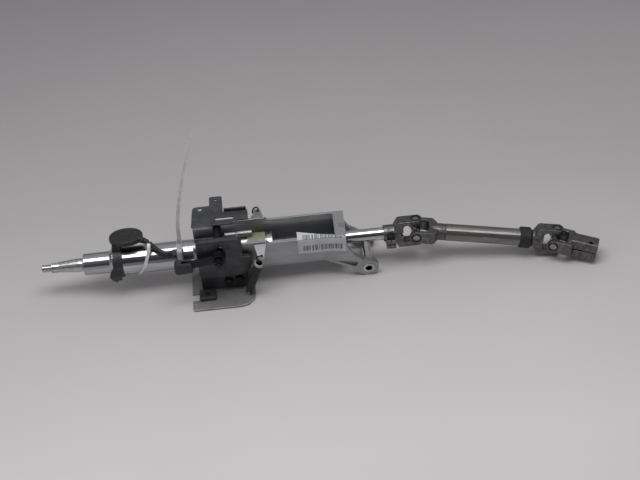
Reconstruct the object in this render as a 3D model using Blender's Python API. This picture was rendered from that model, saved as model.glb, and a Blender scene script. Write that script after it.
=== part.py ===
# Steering column, upside down as it lies on a bench: wheel end at -X, gear end at +X.
# The origin is the middle of the console plate's mounting face. Lengths are in metres.
import math

import bmesh
import bpy
from mathutils import Matrix, Vector

for leftover in list(bpy.data.objects):
    bpy.data.objects.remove(leftover)

# Fits and facets
CLEARANCE = 0.0003
RUNNING_GAP = 0.0005
ROUND_SIDES = 24
TUBE_SIDES = 32
SMALL_SIDES = 16
CORNER_STEPS = 3
SMOOTH_ANGLE = math.radians(35)
WELD_DEPTH = 0.0008
CUT_MARGIN = 0.004

# Lower pivot, which sets the height of the column line
PIVOT_X = 0.2095
PIVOT_DROP = 0.037
BOSS_RADIUS = 0.015
AXIS_HEIGHT = PIVOT_DROP + BOSS_RADIUS
PIVOT_BORE_RADIUS = 0.0054
BUSH_RADIUS = 0.0092
PIVOT_TUBE_RADIUS = 0.007
BUSH_PROUD = 0.0006

# Jacket tube and what slides in it
TUBE_RADIUS = 0.021
TUBE_WALL = 0.002
TUBE_START_X = -0.165
TUBE_END_X = 0.071
TUBE_RING_LENGTH = 0.010
TUBE_RING_STEP = 0.0003
HOUSING_RADIUS = 0.0162
HOUSING_START_X = -0.2105
HOUSING_PLUG_LENGTH = 0.024
HOUSING_FLANGE = 0.003
HOUSING_LIP = 0.0035
REACH_TRAVEL = 0.020

# Upper shaft
SHAFT_TIP_X = -0.273
THREAD_RADIUS = 0.00525
THREAD_LENGTH = 0.014
SERRATION_RADIUS = 0.0075
SERRATION_LENGTH = 0.012
TAPER_START_RADIUS = 0.0079
TAPER_END_RADIUS = 0.0104
TAPER_LENGTH = 0.030
UPPER_SHAFT_RADIUS = 0.009
SPLINE_RADIUS = 0.0067
SPLINE_START_X = -0.060
SPLINE_END_X = 0.060
EDGE = 0.0006

# Bearings
UPPER_BEARING_WIDTH = 0.009
UPPER_BEARING_RADIUS = 0.01345
UPPER_BEARING_SPLIT = 0.0108
LOWER_BEARING_WIDTH = 0.009
LOWER_BEARING_RADIUS = 0.0175
LOWER_BEARING_SPLIT = 0.0137
BEARING_SEAT_WALL = 0.0035
BEARING_LIP = 0.0025
RETAINER_THICKNESS = 0.0012
RETAINER_DEPTH = 0.0028
RETAINER_MOUTH = 0.009

# Lower shaft
LOWER_SHAFT_RADIUS = 0.00975
LOWER_SHAFT_START_X = 0.020
LOWER_SHAFT_BORE_LENGTH = 0.085

# Channel
CHANNEL_START_X = -0.046
CHANNEL_END_X = 0.178
CHANNEL_HALF_WIDTH = 0.0255
CHANNEL_WALL = 0.003
CHANNEL_CORNER = 0.013
RIM_HEIGHT = 0.0316
RIM_RAISE = 0.004
RIM_RAISE_END_X = 0.062
RIM_RAMP = 0.004
BRIDGE_LENGTH = 0.0155
BRIDGE_THICKNESS = 0.003
BRIDGE_PROUD = 0.0005
END_WALL = 0.005
ARM_PLATE = 0.0085
ARM_REACH = 0.032
ARM_BLEND_START = 0.054
ARM_BLEND_END = 0.014
ARM_BLEND_RUN = 0.060
ARM_LOWER_EDGE = ((0.066, -0.012), (0.062, -0.020), (0.052, -0.0242), (0.035, -0.0305), (0.019, -0.0430))
ARM_UPPER_EDGE = (
    (0.0055, -0.0205), (0.013, -0.0150), (0.022, -0.0070), (0.028, 0.004), (0.0335, 0.018), (0.042, 0.024),
    (0.066, 0.020),
)
ARM_POCKET = (
    (0.046, -0.0215, 0.0006), (0.030, -0.0175, 0.0012), (0.016, -0.0225, 0.0012), (0.0185, -0.0330, 0.0018),
    (0.032, -0.0275, 0.0012),
)
BOSS_ARC = range(-115, 61, 16)
EAR_X = 0.052
EAR_REACH = 0.050
EAR_THICKNESS = 0.0025
EAR_ROOT_HALF_WIDTH = 0.009
EAR_TIP_HALF_WIDTH = 0.0045
EAR_DROP = 0.0035
EAR_HOLE_RADIUS = 0.002
EAR_HOLE_EDGE = 0.0042

# Guide bushes under the tube
GUIDE_LENGTH = 0.014
GUIDE_FRONT_X = -0.030
GUIDE_REAR_X = 0.038
GUIDE_WRAP = math.radians(200)

# Console
PLATE_THICKNESS = 0.003
CONSOLE_START_X = -0.056
CONSOLE_END_X = 0.038
CONSOLE_HALF_WIDTH = 0.070
CONSOLE_BIG_CORNER = 0.022
CONSOLE_SMALL_CORNER = 0.003
UPRIGHT_THICKNESS = 0.003
UPRIGHT_START_X = -0.040
UPRIGHT_END_X = 0.026
UPRIGHT_HEIGHT = 0.054
UPRIGHT_CORNER = 0.010
CHEEK_THICKNESS = 0.0065
CHEEK_WEB = 0.0025
CHEEK_START_X = -0.041
CHEEK_STEP_X = 0.0255
CHEEK_END_X = 0.038
CHEEK_WEB_END_X = 0.030
CHEEK_PANEL_FOOT = 0.033
CHEEK_PANEL_CORNER = 0.024
CHEEK_STEP_HEIGHT = 0.070
CHEEK_HEIGHT = 0.110
CHEEK_CORNER = 0.009
CAPSULE_X = -0.033
CAPSULE_Y = 0.0445
CAPSULE_LENGTH = 0.025
CAPSULE_WIDTH = 0.019
CAPSULE_HEIGHT = 0.006
CAPSULE_WEB_WIDTH = 0.0134
CAPSULE_HOLE_RADIUS = 0.0043
CHEEK_BOLT_PLACES = ((0.000, 0.018), (0.0165, 0.020))
CHEEK_BOLT_RADIUS = 0.004
CHEEK_BOLT_FLATS = 0.013
CHEEK_BOLT_HEAD = 0.0053

# Clamp
CLAMP_X = -0.010
CLAMP_BOLT_RADIUS = 0.004
SPACER_RADIUS = 0.006
CLAMP_HEAD_HEIGHT = 0.010
CLAMP_HEAD_LENGTH = 0.018
CLAMP_HEAD_THICKNESS = 0.0055
CLAMP_NUT_FLATS = 0.013
CLAMP_NUT_THICKNESS = 0.0065
CLAMP_BOLT_END = 0.003
CAM_RADIUS = 0.011
FIXED_CAM_WIDTH = 0.004
LEVER_HUB_WIDTH = 0.007
LEVER_THICKNESS = 0.004
LEVER_HALF_WIDTH = 0.006
LEVER_LENGTH = 0.054
LEVER_DROP = 0.009
GRIP_START = 0.0385
GRIP_LENGTH = 0.0265
GRIP_HEIGHT = 0.021
GRIP_DEPTH = 0.014
TILT_UP = math.radians(3)
TILT_DOWN = math.radians(2)
TILT_SPARE = math.radians(0.4)

# Trim carrier
CARRIER_THICKNESS = 0.0025
CARRIER_START_X = -0.047
CARRIER_NEAR_Y = 0.0165
CARRIER_NEAR_END_X = 0.015
CARRIER_FAR_Y = 0.057
CARRIER_TAB = (-0.0185, 0.001)
CARRIER_TAB_FAR_Y = 0.0755
CARRIER_HOLE = (-0.0325, 0.0515, 0.0033)
CARRIER_SLOT = (-0.011, 0.017, 0.0285, 0.0028)
CARRIER_TAB_HOLE = (-0.0085, 0.0685, 0.002)
CARRIER_LIP_HEIGHT = 0.007
CARRIER_LIP_START_X = 0.003
CARRIER_END_X = 0.038
CARRIER_LIP_Y = 0.0425
CARRIER_CORNER = 0.006
CARRIER_FLANGE_START_X = -0.044
CARRIER_FLANGE_END_X = -0.0215
CARRIER_FLANGE_FOOT = 0.013

# Coil, cable and ties
COIL_CENTRE = (-0.145, 0.017)
COIL_RADIUS = 0.025
COIL_THICKNESS = 0.008
COIL_UNDERSIDE = 0.027
COIL_RECESS_RADIUS = 0.020
COIL_RECESS_DEPTH = 0.0012
BAND_START_X = -0.166
BAND_LENGTH = 0.014
BAND_THICKNESS = 0.003
BAND_TAIL_DROP = 0.034
CABLE_RADIUS = 0.0037
CABLE_RIDE = 0.0250
CABLE_ANGLE = math.radians(55)
CABLE_EXIT = math.radians(-28)
PLUG_START_X = -0.0775
PLUG_LENGTH = 0.016
PLUG_HALF_WIDTH = 0.0044
PLUG_HALF_HEIGHT = 0.0040
TIE_WIDTH = 0.0048
TIE_THICKNESS = 0.0013
CABLE_TIE_X = -0.123
CABLE_TIE_LEAN = 0.013
TAG_WIDTH = 0.0076
TAG_THICKNESS = 0.0009
TAG_TIE_X = -0.0675
TAG_TIE_LEAN = -0.004
TAG_TAIL_ANGLE = math.radians(88)
TAG_TAIL = (
    (0.000, 0.000, 0.000), (-0.001, -0.001, 0.014), (-0.001, 0.003, 0.042), (0.007, 0.014, 0.080),
    (0.021, 0.034, 0.118), (0.038, 0.066, 0.158),
)
TAG_TAIL_TAPER = 0.55

# Stop rod on the tube
ROD_START_X = 0.001
ROD_END_X = 0.042
ROD_Y = 0.005
ROD_RADIUS = 0.005

# Joints
JOINT_1_X = 0.284
JOINT_1_ROLL = math.radians(-12)
MIDDLE_LENGTH = 0.210
MIDDLE_YAW = math.radians(-6.0)
MIDDLE_DROP = math.radians(7.9)
GEAR_YAW = math.radians(-20.7)
GEAR_DROP = math.radians(6.0)
FORK_INSIDE = 0.015
FORK_OUTSIDE = 0.0215
FORK_HALF_WIDTH = 0.0095
FORK_THROAT = 0.019
FORK_SHOULDER = 0.030
YOKE_1_HUB_RADIUS = 0.0125
YOKE_1_HUB_END = 0.0484
YOKE_2_HUB_END = 0.044
YOKE_3_HUB_END = 0.036
MIDDLE_HUB_RADIUS = 0.0126
CUP_RADIUS = 0.0072
CUP_FLOOR = 0.0016
PIN_RADIUS = 0.0046
CROSS_RADIUS = 0.0070
CROSS_SHOULDER = 0.0125
PINCH_LUG_REACH = 0.0255
PINCH_LUG_LENGTH = 0.014
PINCH_LUG_TOP = 0.003
PINCH_LUG_FOOT = 0.0125
PINCH_SLOT = 0.0024
PINCH_BOLT_RADIUS = 0.0035
PINCH_BOLT_FLATS = 0.011
PINCH_BOLT_HEAD = 0.0075

# Middle shaft
MIDDLE_TUBE_RADIUS = 0.01275
MIDDLE_TUBE_WALL = 0.0016
MIDDLE_TUBE_GAP = 0.048
MIDDLE_TUBE_END = MIDDLE_LENGTH - MIDDLE_TUBE_GAP
MIDDLE_SPIGOT_LENGTH = 0.009
SEAL_RADIUS = 0.016
SEAL_GRIP_LENGTH = 0.006
SEAL_LENGTH = 0.017
SEAL_START = MIDDLE_TUBE_END - SEAL_GRIP_LENGTH
SEAL_END = SEAL_START + SEAL_LENGTH
SLIDING_SHAFT_RADIUS = 0.0090
SLIDING_SHAFT_OVERLAP = 0.082
SLIDING_SHAFT_START = MIDDLE_TUBE_END - SLIDING_SHAFT_OVERLAP
SLIDING_SPIGOT_RADIUS = 0.0070
SLIDE_TRAVEL = 0.030

# Gear end yoke
GEAR_HUB_END = 0.064
GEAR_HUB_NEAR = 0.0145
GEAR_HUB_FAR = 0.0110
GEAR_HUB_HALF_HEIGHT = 0.0145
GEAR_BORE_RADIUS = 0.0078
GEAR_BOLT_RADIUS = 0.0036
GEAR_BOLT_X = 0.053
GEAR_BOLT_Y = 0.0090

# Tilt springs
SPRING_FOOT_X = 0.0275
SPRING_Y = 0.0458
SPRING_FOOT_Z = 0.0062
SPRING_COIL_RADIUS = 0.0042
SPRING_WIRE_RADIUS = 0.0008
SPRING_TURNS = 8
SPRING_FOOT_HOOK = 0.0075
SPRING_HEAD_HOOK = 0.012
SPRING_LUG_THICKNESS = 0.0024
SPRING_LUG_HALF_WIDTH = 0.004
SPRING_LUG_HEIGHT = 0.0095
SPRING_LUG_HOLE_RADIUS = 0.0016
SLEEVE_RADIUS = 0.0072
SLEEVE_WALL = 0.0016


def finish(name, colour, roughness, metallic):
    """A plain Principled material."""
    material = bpy.data.materials.new(name)
    material.use_nodes = True
    shader = material.node_tree.nodes["Principled BSDF"]
    shader.inputs["Base Color"].default_value = (*colour, 1.0)
    shader.inputs["Roughness"].default_value = roughness
    shader.inputs["Metallic"].default_value = metallic
    material.diffuse_color = (*colour, 1.0)
    return material


ALUMINIUM = finish("cast aluminium", (0.42, 0.42, 0.43), 0.45, 1.0)
BRIGHT_STEEL = finish("ground steel", (0.55, 0.55, 0.56), 0.25, 1.0)
FORGED_STEEL = finish("forged steel", (0.16, 0.15, 0.15), 0.5, 1.0)
TUBE_STEEL = finish("drawn steel tube", (0.38, 0.38, 0.39), 0.3, 1.0)
DARK_STEEL = finish("phosphated steel", (0.09, 0.09, 0.10), 0.5, 1.0)
BLACK_PLASTIC = finish("black plastic", (0.02, 0.02, 0.022), 0.45, 0.0)
WHITE_PLASTIC = finish("white nylon", (0.62, 0.62, 0.60), 0.4, 0.0)
BLACK_RUBBER = finish("black rubber", (0.018, 0.018, 0.02), 0.7, 0.0)
BLACK_STEEL = finish("blackened steel", (0.03, 0.03, 0.033), 0.45, 1.0)
ZINC = finish("zinc plated steel", (0.5, 0.5, 0.5), 0.35, 1.0)


def empty(name, matrix, parent=None):
    """An empty placed by a matrix in its parent's frame."""
    frame = bpy.data.objects.new(name, None)
    bpy.context.scene.collection.objects.link(frame)
    frame.parent = parent
    frame.matrix_local = matrix
    return frame


def skinned(name, rings, endless=False):
    """A closed mesh over rings with equal numbers of points."""
    mesh = bmesh.new()
    rows = [[mesh.verts.new(point) for point in ring] for ring in rings]
    count = len(rows[0])
    pairs = list(zip(rows, rows[1:]))
    if endless:
        pairs.append((rows[-1], rows[0]))
    for low, high in pairs:
        for i in range(count):
            j = (i + 1) % count
            mesh.faces.new((low[i], low[j], high[j], high[i]))
    if not endless:
        mesh.faces.new(rows[0])
        mesh.faces.new(rows[-1])
    bmesh.ops.recalc_face_normals(mesh, faces=mesh.faces)
    data = bpy.data.meshes.new(name)
    mesh.to_mesh(data)
    mesh.free()
    return data


def solid(name, rings, material, parent=None, endless=False, turn=None, place=(0, 0, 0)):
    """A named piece over rings, in its parent's frame."""
    data = skinned(name, rings, endless)
    data.materials.append(material)
    piece = bpy.data.objects.new(name, data)
    bpy.context.scene.collection.objects.link(piece)
    piece.parent = parent
    turned_by = turn if turn else Matrix.Identity(3)
    piece.matrix_local = Matrix.Translation(Vector(place)) @ turned_by.to_4x4()
    data.shade_smooth()
    data.set_sharp_from_angle(angle=SMOOTH_ANGLE)
    return piece


def shaped(piece, operation, rings, endless=False):
    """Joins or cuts a piece with a hidden helper made in the piece's own frame."""
    helper = solid(piece.name + "_helper", rings, piece.data.materials[0], piece, endless)
    helper.hide_render = True
    helper.display_type = "WIRE"
    step = piece.modifiers.new(operation.lower(), "BOOLEAN")
    step.operation = operation
    step.solver = "EXACT"
    step.object = helper


def softened(piece, width):
    """Rounds the sharp edges that the piece has so far."""
    step = piece.modifiers.new("soft edges", "BEVEL")
    step.width = width
    step.segments = 1
    step.limit_method = "ANGLE"
    step.angle_limit = math.radians(50)


def turned(profile, sides=ROUND_SIDES, axis="X", centre=(0, 0)):
    """Rings of a turned shape: (place along the axis, radius) pairs."""
    rings = []
    for along, radius in profile:
        ring = []
        for i in range(sides):
            angle = 2 * math.pi * i / sides
            u = centre[0] + radius * math.cos(angle)
            v = centre[1] + radius * math.sin(angle)
            ring.append(on_axis(axis, along, u, v))
        rings.append(ring)
    return rings


def on_axis(axis, along, u, v):
    """A point from its place along an axis and two cross coordinates in x, y, z order."""
    if axis == "X":
        return Vector((along, u, v))
    if axis == "Y":
        return Vector((u, along, v))
    return Vector((u, v, along))


def prism(outline, low, high, axis="Z"):
    """Rings of an outline pushed along an axis."""
    return [[on_axis(axis, along, u, v) for u, v in outline] for along in (low, high)]


def box(x, y, z):
    """Rings of a plain box from three (low, high) pairs."""
    corners = ((x[0], y[0]), (x[1], y[0]), (x[1], y[1]), (x[0], y[1]))
    return prism(corners, z[0], z[1])


def rounded(corners):
    """An outline from (u, v, corner radius) triples."""
    points = []
    count = len(corners)
    for i, (u, v, radius) in enumerate(corners):
        here = Vector((u, v))
        before = Vector(corners[i - 1][:2]) - here
        after = Vector(corners[(i + 1) % count][:2]) - here
        before.normalize()
        after.normalize()
        half = before.angle(after) / 2
        if radius <= 0 or half > math.radians(89):
            points.append((u, v))
            continue
        centre = here + (before + after).normalized() * (radius / math.sin(half))
        start = here + before * (radius / math.tan(half)) - centre
        end = here + after * (radius / math.tan(half)) - centre
        sweep = start.angle_signed(end)
        for step in range(CORNER_STEPS + 1):
            part = -sweep * step / CORNER_STEPS
            spoke = Matrix.Rotation(part, 2) @ start
            points.append((centre.x + spoke.x, centre.y + spoke.y))
    return points


def slot_outline(start, end, v, radius):
    """A straight slot along u with round ends."""
    points = []
    for centre, first in ((end, -90), (start, 90)):
        for step in range(CORNER_STEPS * 2 + 1):
            angle = math.radians(first + 180 * step / (CORNER_STEPS * 2))
            points.append((centre + radius * math.cos(angle), v + radius * math.sin(angle)))
    return points


def hexagon(flats, sides, axis, along, centre=(0, 0)):
    """A ring of points on a hexagon."""
    ring = []
    for i in range(sides):
        angle = 2 * math.pi * i / sides
        sector = (angle + math.pi / 6) % (math.pi / 3) - math.pi / 6
        radius = flats / 2 / math.cos(sector)
        u = centre[0] + radius * math.cos(angle)
        v = centre[1] + radius * math.sin(angle)
        ring.append(on_axis(axis, along, u, v))
    return ring


def swept(path, section, endless=False):
    """Rings of a section carried along a path; the section is (side, up) pairs."""
    rings = []
    count = len(path)
    up = None
    for i, point in enumerate(path):
        if endless:
            ahead = path[(i + 1) % count] - path[i - 1]
        else:
            ahead = path[min(i + 1, count - 1)] - path[max(i - 1, 0)]
        ahead.normalize()
        if up is None:
            up = Vector((0, 0, 1)) if abs(ahead.z) < 0.9 else Vector((1, 0, 0))
        up = (up - ahead * up.dot(ahead)).normalized()
        side = ahead.cross(up)
        rings.append([point + side * s + up * t for s, t in section])
    return rings


def round_section(radius, sides):
    """A round section for a sweep."""
    steps = [2 * math.pi * i / sides for i in range(sides)]
    return [(radius * math.cos(angle), radius * math.sin(angle)) for angle in steps]


def curve_through(points, steps):
    """A smooth path through points."""
    path = []
    count = len(points)
    for i in range(count - 1):
        a = points[max(i - 1, 0)]
        b = points[i]
        c = points[i + 1]
        d = points[min(i + 2, count - 1)]
        for step in range(steps):
            t = step / steps
            path.append(
                0.5 * (2 * b + (c - a) * t + (2 * a - 5 * b + 4 * c - d) * t**2
                       + (3 * b - 3 * c + d - a) * t**3)
            )
    path.append(points[-1])
    return path


# Frames that the bodies hang on
pivot = empty("tilt_pivot", Matrix.Translation((PIVOT_X, 0, AXIS_HEIGHT - PIVOT_DROP)))
column = empty("column_axis", Matrix.Translation((-PIVOT_X, 0, PIVOT_DROP)), pivot)

# Console: base plate, two uprights and the open slots for the capsules
CONSOLE_INSIDE = CHANNEL_HALF_WIDTH + CLEARANCE
UPRIGHT_OUTSIDE = CONSOLE_INSIDE + UPRIGHT_THICKNESS
console_outline = rounded((
    (CONSOLE_START_X, -CONSOLE_HALF_WIDTH, CONSOLE_SMALL_CORNER),
    (CONSOLE_END_X, -CONSOLE_HALF_WIDTH, CONSOLE_BIG_CORNER),
    (CONSOLE_END_X, CONSOLE_HALF_WIDTH, CONSOLE_BIG_CORNER),
    (CONSOLE_START_X, CONSOLE_HALF_WIDTH, CONSOLE_SMALL_CORNER),
))
console = solid("console_plate", prism(console_outline, 0, PLATE_THICKNESS), DARK_STEEL)
softened(console, EDGE)
upright_outline = rounded((
    (UPRIGHT_START_X, PLATE_THICKNESS - WELD_DEPTH, 0),
    (UPRIGHT_END_X, PLATE_THICKNESS - WELD_DEPTH, 0),
    (UPRIGHT_END_X, UPRIGHT_HEIGHT, UPRIGHT_CORNER),
    (UPRIGHT_START_X, UPRIGHT_HEIGHT, UPRIGHT_CORNER),
))
for side in (-1, 1):
    low, high = sorted((side * CONSOLE_INSIDE, side * UPRIGHT_OUTSIDE))
    shaped(console, "UNION", prism(upright_outline, low, high, "Y"))
    slot = slot_outline(
        CONSOLE_START_X - CUT_MARGIN,
        CAPSULE_X,
        side * CAPSULE_Y,
        CAPSULE_WEB_WIDTH / 2 + CLEARANCE,
    )
    shaped(console, "DIFFERENCE", prism(slot, -CUT_MARGIN, PLATE_THICKNESS + CUT_MARGIN))
    # Lug for the foot of a tilt spring
    shaped(console, "UNION", box(
        (SPRING_FOOT_X - SPRING_LUG_THICKNESS / 2, SPRING_FOOT_X + SPRING_LUG_THICKNESS / 2),
        (side * SPRING_Y - SPRING_LUG_HALF_WIDTH, side * SPRING_Y + SPRING_LUG_HALF_WIDTH),
        (PLATE_THICKNESS - WELD_DEPTH, SPRING_LUG_HEIGHT),
    ))
    shaped(console, "DIFFERENCE", turned((
        (SPRING_FOOT_X - CUT_MARGIN, SPRING_LUG_HOLE_RADIUS),
        (SPRING_FOOT_X + CUT_MARGIN, SPRING_LUG_HOLE_RADIUS),
    ), SMALL_SIDES // 2, "X", (side * SPRING_Y, SPRING_FOOT_Z)))
for x, z in CHEEK_BOLT_PLACES:
    hole = turned(
        ((-UPRIGHT_OUTSIDE - CUT_MARGIN, CHEEK_BOLT_RADIUS + CLEARANCE),
         (-CONSOLE_INSIDE + CUT_MARGIN, CHEEK_BOLT_RADIUS + CLEARANCE)),
        SMALL_SIDES, "Y", (x, z),
    )
    shaped(console, "DIFFERENCE", hole)

# Break-away capsules, each with its bolt hole
for name, side in (("capsule_near", -1), ("capsule_far", 1)):
    half = CAPSULE_LENGTH / 2
    capsule = solid(
        name,
        box((-half, half), (-CAPSULE_WIDTH / 2, CAPSULE_WIDTH / 2),
            (PLATE_THICKNESS + CLEARANCE, PLATE_THICKNESS + CLEARANCE + CAPSULE_HEIGHT)),
        DARK_STEEL,
        place=(CAPSULE_X, side * CAPSULE_Y, 0),
    )
    softened(capsule, EDGE * 2)
    web_box = rounded((
        (-half + EDGE, -CAPSULE_WEB_WIDTH / 2, 0),
        (CAPSULE_WEB_WIDTH / 2 - CLEARANCE, -CAPSULE_WEB_WIDTH / 2, CAPSULE_WEB_WIDTH / 2.01),
        (CAPSULE_WEB_WIDTH / 2 - CLEARANCE, CAPSULE_WEB_WIDTH / 2, CAPSULE_WEB_WIDTH / 2.01),
        (-half + EDGE, CAPSULE_WEB_WIDTH / 2, 0),
    ))
    shaped(capsule, "UNION", prism(web_box, 0, PLATE_THICKNESS + CLEARANCE + WELD_DEPTH))
    hole = turned(
        ((-CUT_MARGIN, CAPSULE_HOLE_RADIUS), (CAPSULE_HEIGHT + CUT_MARGIN * 2, CAPSULE_HOLE_RADIUS)),
        SMALL_SIDES, "Z",
    )
    shaped(capsule, "DIFFERENCE", hole)

# Clamp cheek with the tilt slot, an arc about the lower pivot
CLAMP_RISE = TUBE_RADIUS + RUNNING_GAP + SPACER_RADIUS
CLAMP_HEIGHT = AXIS_HEIGHT + CLAMP_RISE
CHEEK_INSIDE = UPRIGHT_OUTSIDE + CLEARANCE
CHEEK_OUTSIDE = CHEEK_INSIDE + CHEEK_THICKNESS
CHEEK_FOOT = PLATE_THICKNESS + CLEARANCE
CHEEK_WEB_OUTSIDE = CHEEK_INSIDE + CHEEK_WEB
cheek_outline = rounded((
    (CHEEK_START_X, CHEEK_PANEL_FOOT, CHEEK_CORNER / 2),
    (CHEEK_END_X, CHEEK_PANEL_FOOT, CHEEK_PANEL_CORNER),
    (CHEEK_END_X, CHEEK_STEP_HEIGHT, CHEEK_CORNER / 3),
    (CHEEK_STEP_X, CHEEK_STEP_HEIGHT + EDGE * 4, CHEEK_CORNER / 3),
    (CHEEK_STEP_X, CHEEK_HEIGHT, CHEEK_CORNER),
    (CHEEK_START_X, CHEEK_HEIGHT, CHEEK_CORNER),
))
cheek = solid("clamp_cheek", prism(cheek_outline, -CHEEK_OUTSIDE, -CHEEK_INSIDE, "Y"), DARK_STEEL)
softened(cheek, EDGE)
shaped(cheek, "UNION", box(
    (CHEEK_START_X + EDGE, CHEEK_WEB_END_X),
    (-CHEEK_WEB_OUTSIDE, -CHEEK_INSIDE - EDGE / 6),
    (CHEEK_FOOT, CHEEK_PANEL_FOOT + CHEEK_CORNER),
))
bolt_arm = Vector((CLAMP_X - PIVOT_X, CLAMP_HEIGHT - (AXIS_HEIGHT - PIVOT_DROP)))
arm_angle = math.atan2(bolt_arm.y, bolt_arm.x)
slot_half = CLAMP_BOLT_RADIUS + RUNNING_GAP
ends = (arm_angle - TILT_UP - TILT_SPARE, arm_angle + TILT_DOWN + TILT_SPARE)
slot = []
for end, ahead in ((ends[0], -1), (ends[1], 1)):
    centre_u = PIVOT_X + bolt_arm.length * math.cos(end)
    centre_v = AXIS_HEIGHT - PIVOT_DROP + bolt_arm.length * math.sin(end)
    for step in range(CORNER_STEPS * 2 + 1):
        turn_by = math.pi * step / (CORNER_STEPS * 2)
        angle = end + (math.pi if ahead == -1 else 0) + turn_by
        slot.append((centre_u + slot_half * math.cos(angle), centre_v + slot_half * math.sin(angle)))
shaped(cheek, "DIFFERENCE", prism(slot, -CHEEK_OUTSIDE - CUT_MARGIN, -CHEEK_INSIDE + CUT_MARGIN, "Y"))
for x, z in CHEEK_BOLT_PLACES:
    hole = turned(
        ((-CHEEK_OUTSIDE - CUT_MARGIN, CHEEK_BOLT_RADIUS + CLEARANCE),
         (-CHEEK_INSIDE + CUT_MARGIN, CHEEK_BOLT_RADIUS + CLEARANCE)),
        SMALL_SIDES, "Y", (x, z),
    )
    shaped(cheek, "DIFFERENCE", hole)


def hex_bolt(name, flats, head, radius, length, material, parent, turn, place):
    """A bolt along its own -Z from the underside of its head."""
    rings = [
        hexagon(flats - 2 * EDGE, SMALL_SIDES, "Z", head),
        hexagon(flats, SMALL_SIDES, "Z", head - EDGE),
        hexagon(flats, SMALL_SIDES, "Z", 0),
    ]
    rings += turned(((0, radius), (-length + EDGE, radius), (-length, radius - EDGE)), SMALL_SIDES, "Z")
    return solid(name, rings, material, parent, turn=turn, place=place)


# Bolts that hold the cheek to the near upright; their heads face the near side
HEAD_TO_NEAR = Matrix.Rotation(math.radians(90), 3, "X")
for number, (x, z) in enumerate(CHEEK_BOLT_PLACES, 1):
    hex_bolt(
        f"cheek_bolt_{number}", CHEEK_BOLT_FLATS, CHEEK_BOLT_HEAD, CHEEK_BOLT_RADIUS,
        CHEEK_WEB_OUTSIDE - CONSOLE_INSIDE + CLEARANCE, ZINC, None,
        HEAD_TO_NEAR, (x, -CHEEK_WEB_OUTSIDE - CLEARANCE, z),
    )

# Lower channel: a folded U whose rims stand higher along the clamp
channel_low = -CHANNEL_HALF_WIDTH
inside_half = CHANNEL_HALF_WIDTH - CHANNEL_WALL


def channel_section(x, rim):
    """One U section of the channel, near rim to far rim and back inside."""
    outside = rounded((
        (-CHANNEL_HALF_WIDTH, rim, 0),
        (-CHANNEL_HALF_WIDTH, channel_low, CHANNEL_CORNER),
        (CHANNEL_HALF_WIDTH, channel_low, CHANNEL_CORNER),
        (CHANNEL_HALF_WIDTH, rim, 0),
    ))
    inner_corner = CHANNEL_CORNER - CHANNEL_WALL
    inside = rounded((
        (inside_half, rim, 0),
        (inside_half, channel_low + CHANNEL_WALL, inner_corner),
        (-inside_half, channel_low + CHANNEL_WALL, inner_corner),
        (-inside_half, rim, 0),
    ))
    return [Vector((x, u, v)) for u, v in outside + inside]


raised = RIM_HEIGHT + RIM_RAISE
channel = solid(
    "lower_channel",
    [
        channel_section(CHANNEL_START_X, raised),
        channel_section(RIM_RAISE_END_X, raised),
        channel_section(RIM_RAISE_END_X + RIM_RAMP, RIM_HEIGHT),
        channel_section(CHANNEL_END_X, RIM_HEIGHT),
    ],
    ALUMINIUM,
    column,
)

# End wall with the bearing seat, and the bridge across the rims
SEAT_RADIUS = LOWER_BEARING_RADIUS + CLEARANCE
SEAT_START_X = CHANNEL_END_X - LOWER_BEARING_WIDTH - RETAINER_THICKNESS - 3 * CLEARANCE
WALL_START_X = CHANNEL_END_X - END_WALL
shaped(channel, "UNION", box(
    (WALL_START_X, CHANNEL_END_X - CLEARANCE),
    (-inside_half - WELD_DEPTH, inside_half + WELD_DEPTH),
    (channel_low + CHANNEL_WALL - WELD_DEPTH, RIM_HEIGHT - WELD_DEPTH),
))
shaped(channel, "UNION", turned((
    (SEAT_START_X - BEARING_LIP, SEAT_RADIUS + BEARING_SEAT_WALL),
    (CHANNEL_END_X + WELD_DEPTH, SEAT_RADIUS + BEARING_SEAT_WALL),
)))
bridge_outline = rounded((
    (CHANNEL_END_X - BRIDGE_LENGTH, -CHANNEL_HALF_WIDTH + EDGE, EDGE),
    (CHANNEL_END_X + EDGE, -CHANNEL_HALF_WIDTH + EDGE, CHANNEL_WALL),
    (CHANNEL_END_X + EDGE, CHANNEL_HALF_WIDTH - EDGE, CHANNEL_WALL),
    (CHANNEL_END_X - BRIDGE_LENGTH, CHANNEL_HALF_WIDTH - EDGE, EDGE),
))
shaped(channel, "UNION", prism(
    bridge_outline, RIM_HEIGHT + BRIDGE_PROUD - BRIDGE_THICKNESS, RIM_HEIGHT + BRIDGE_PROUD
))

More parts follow.
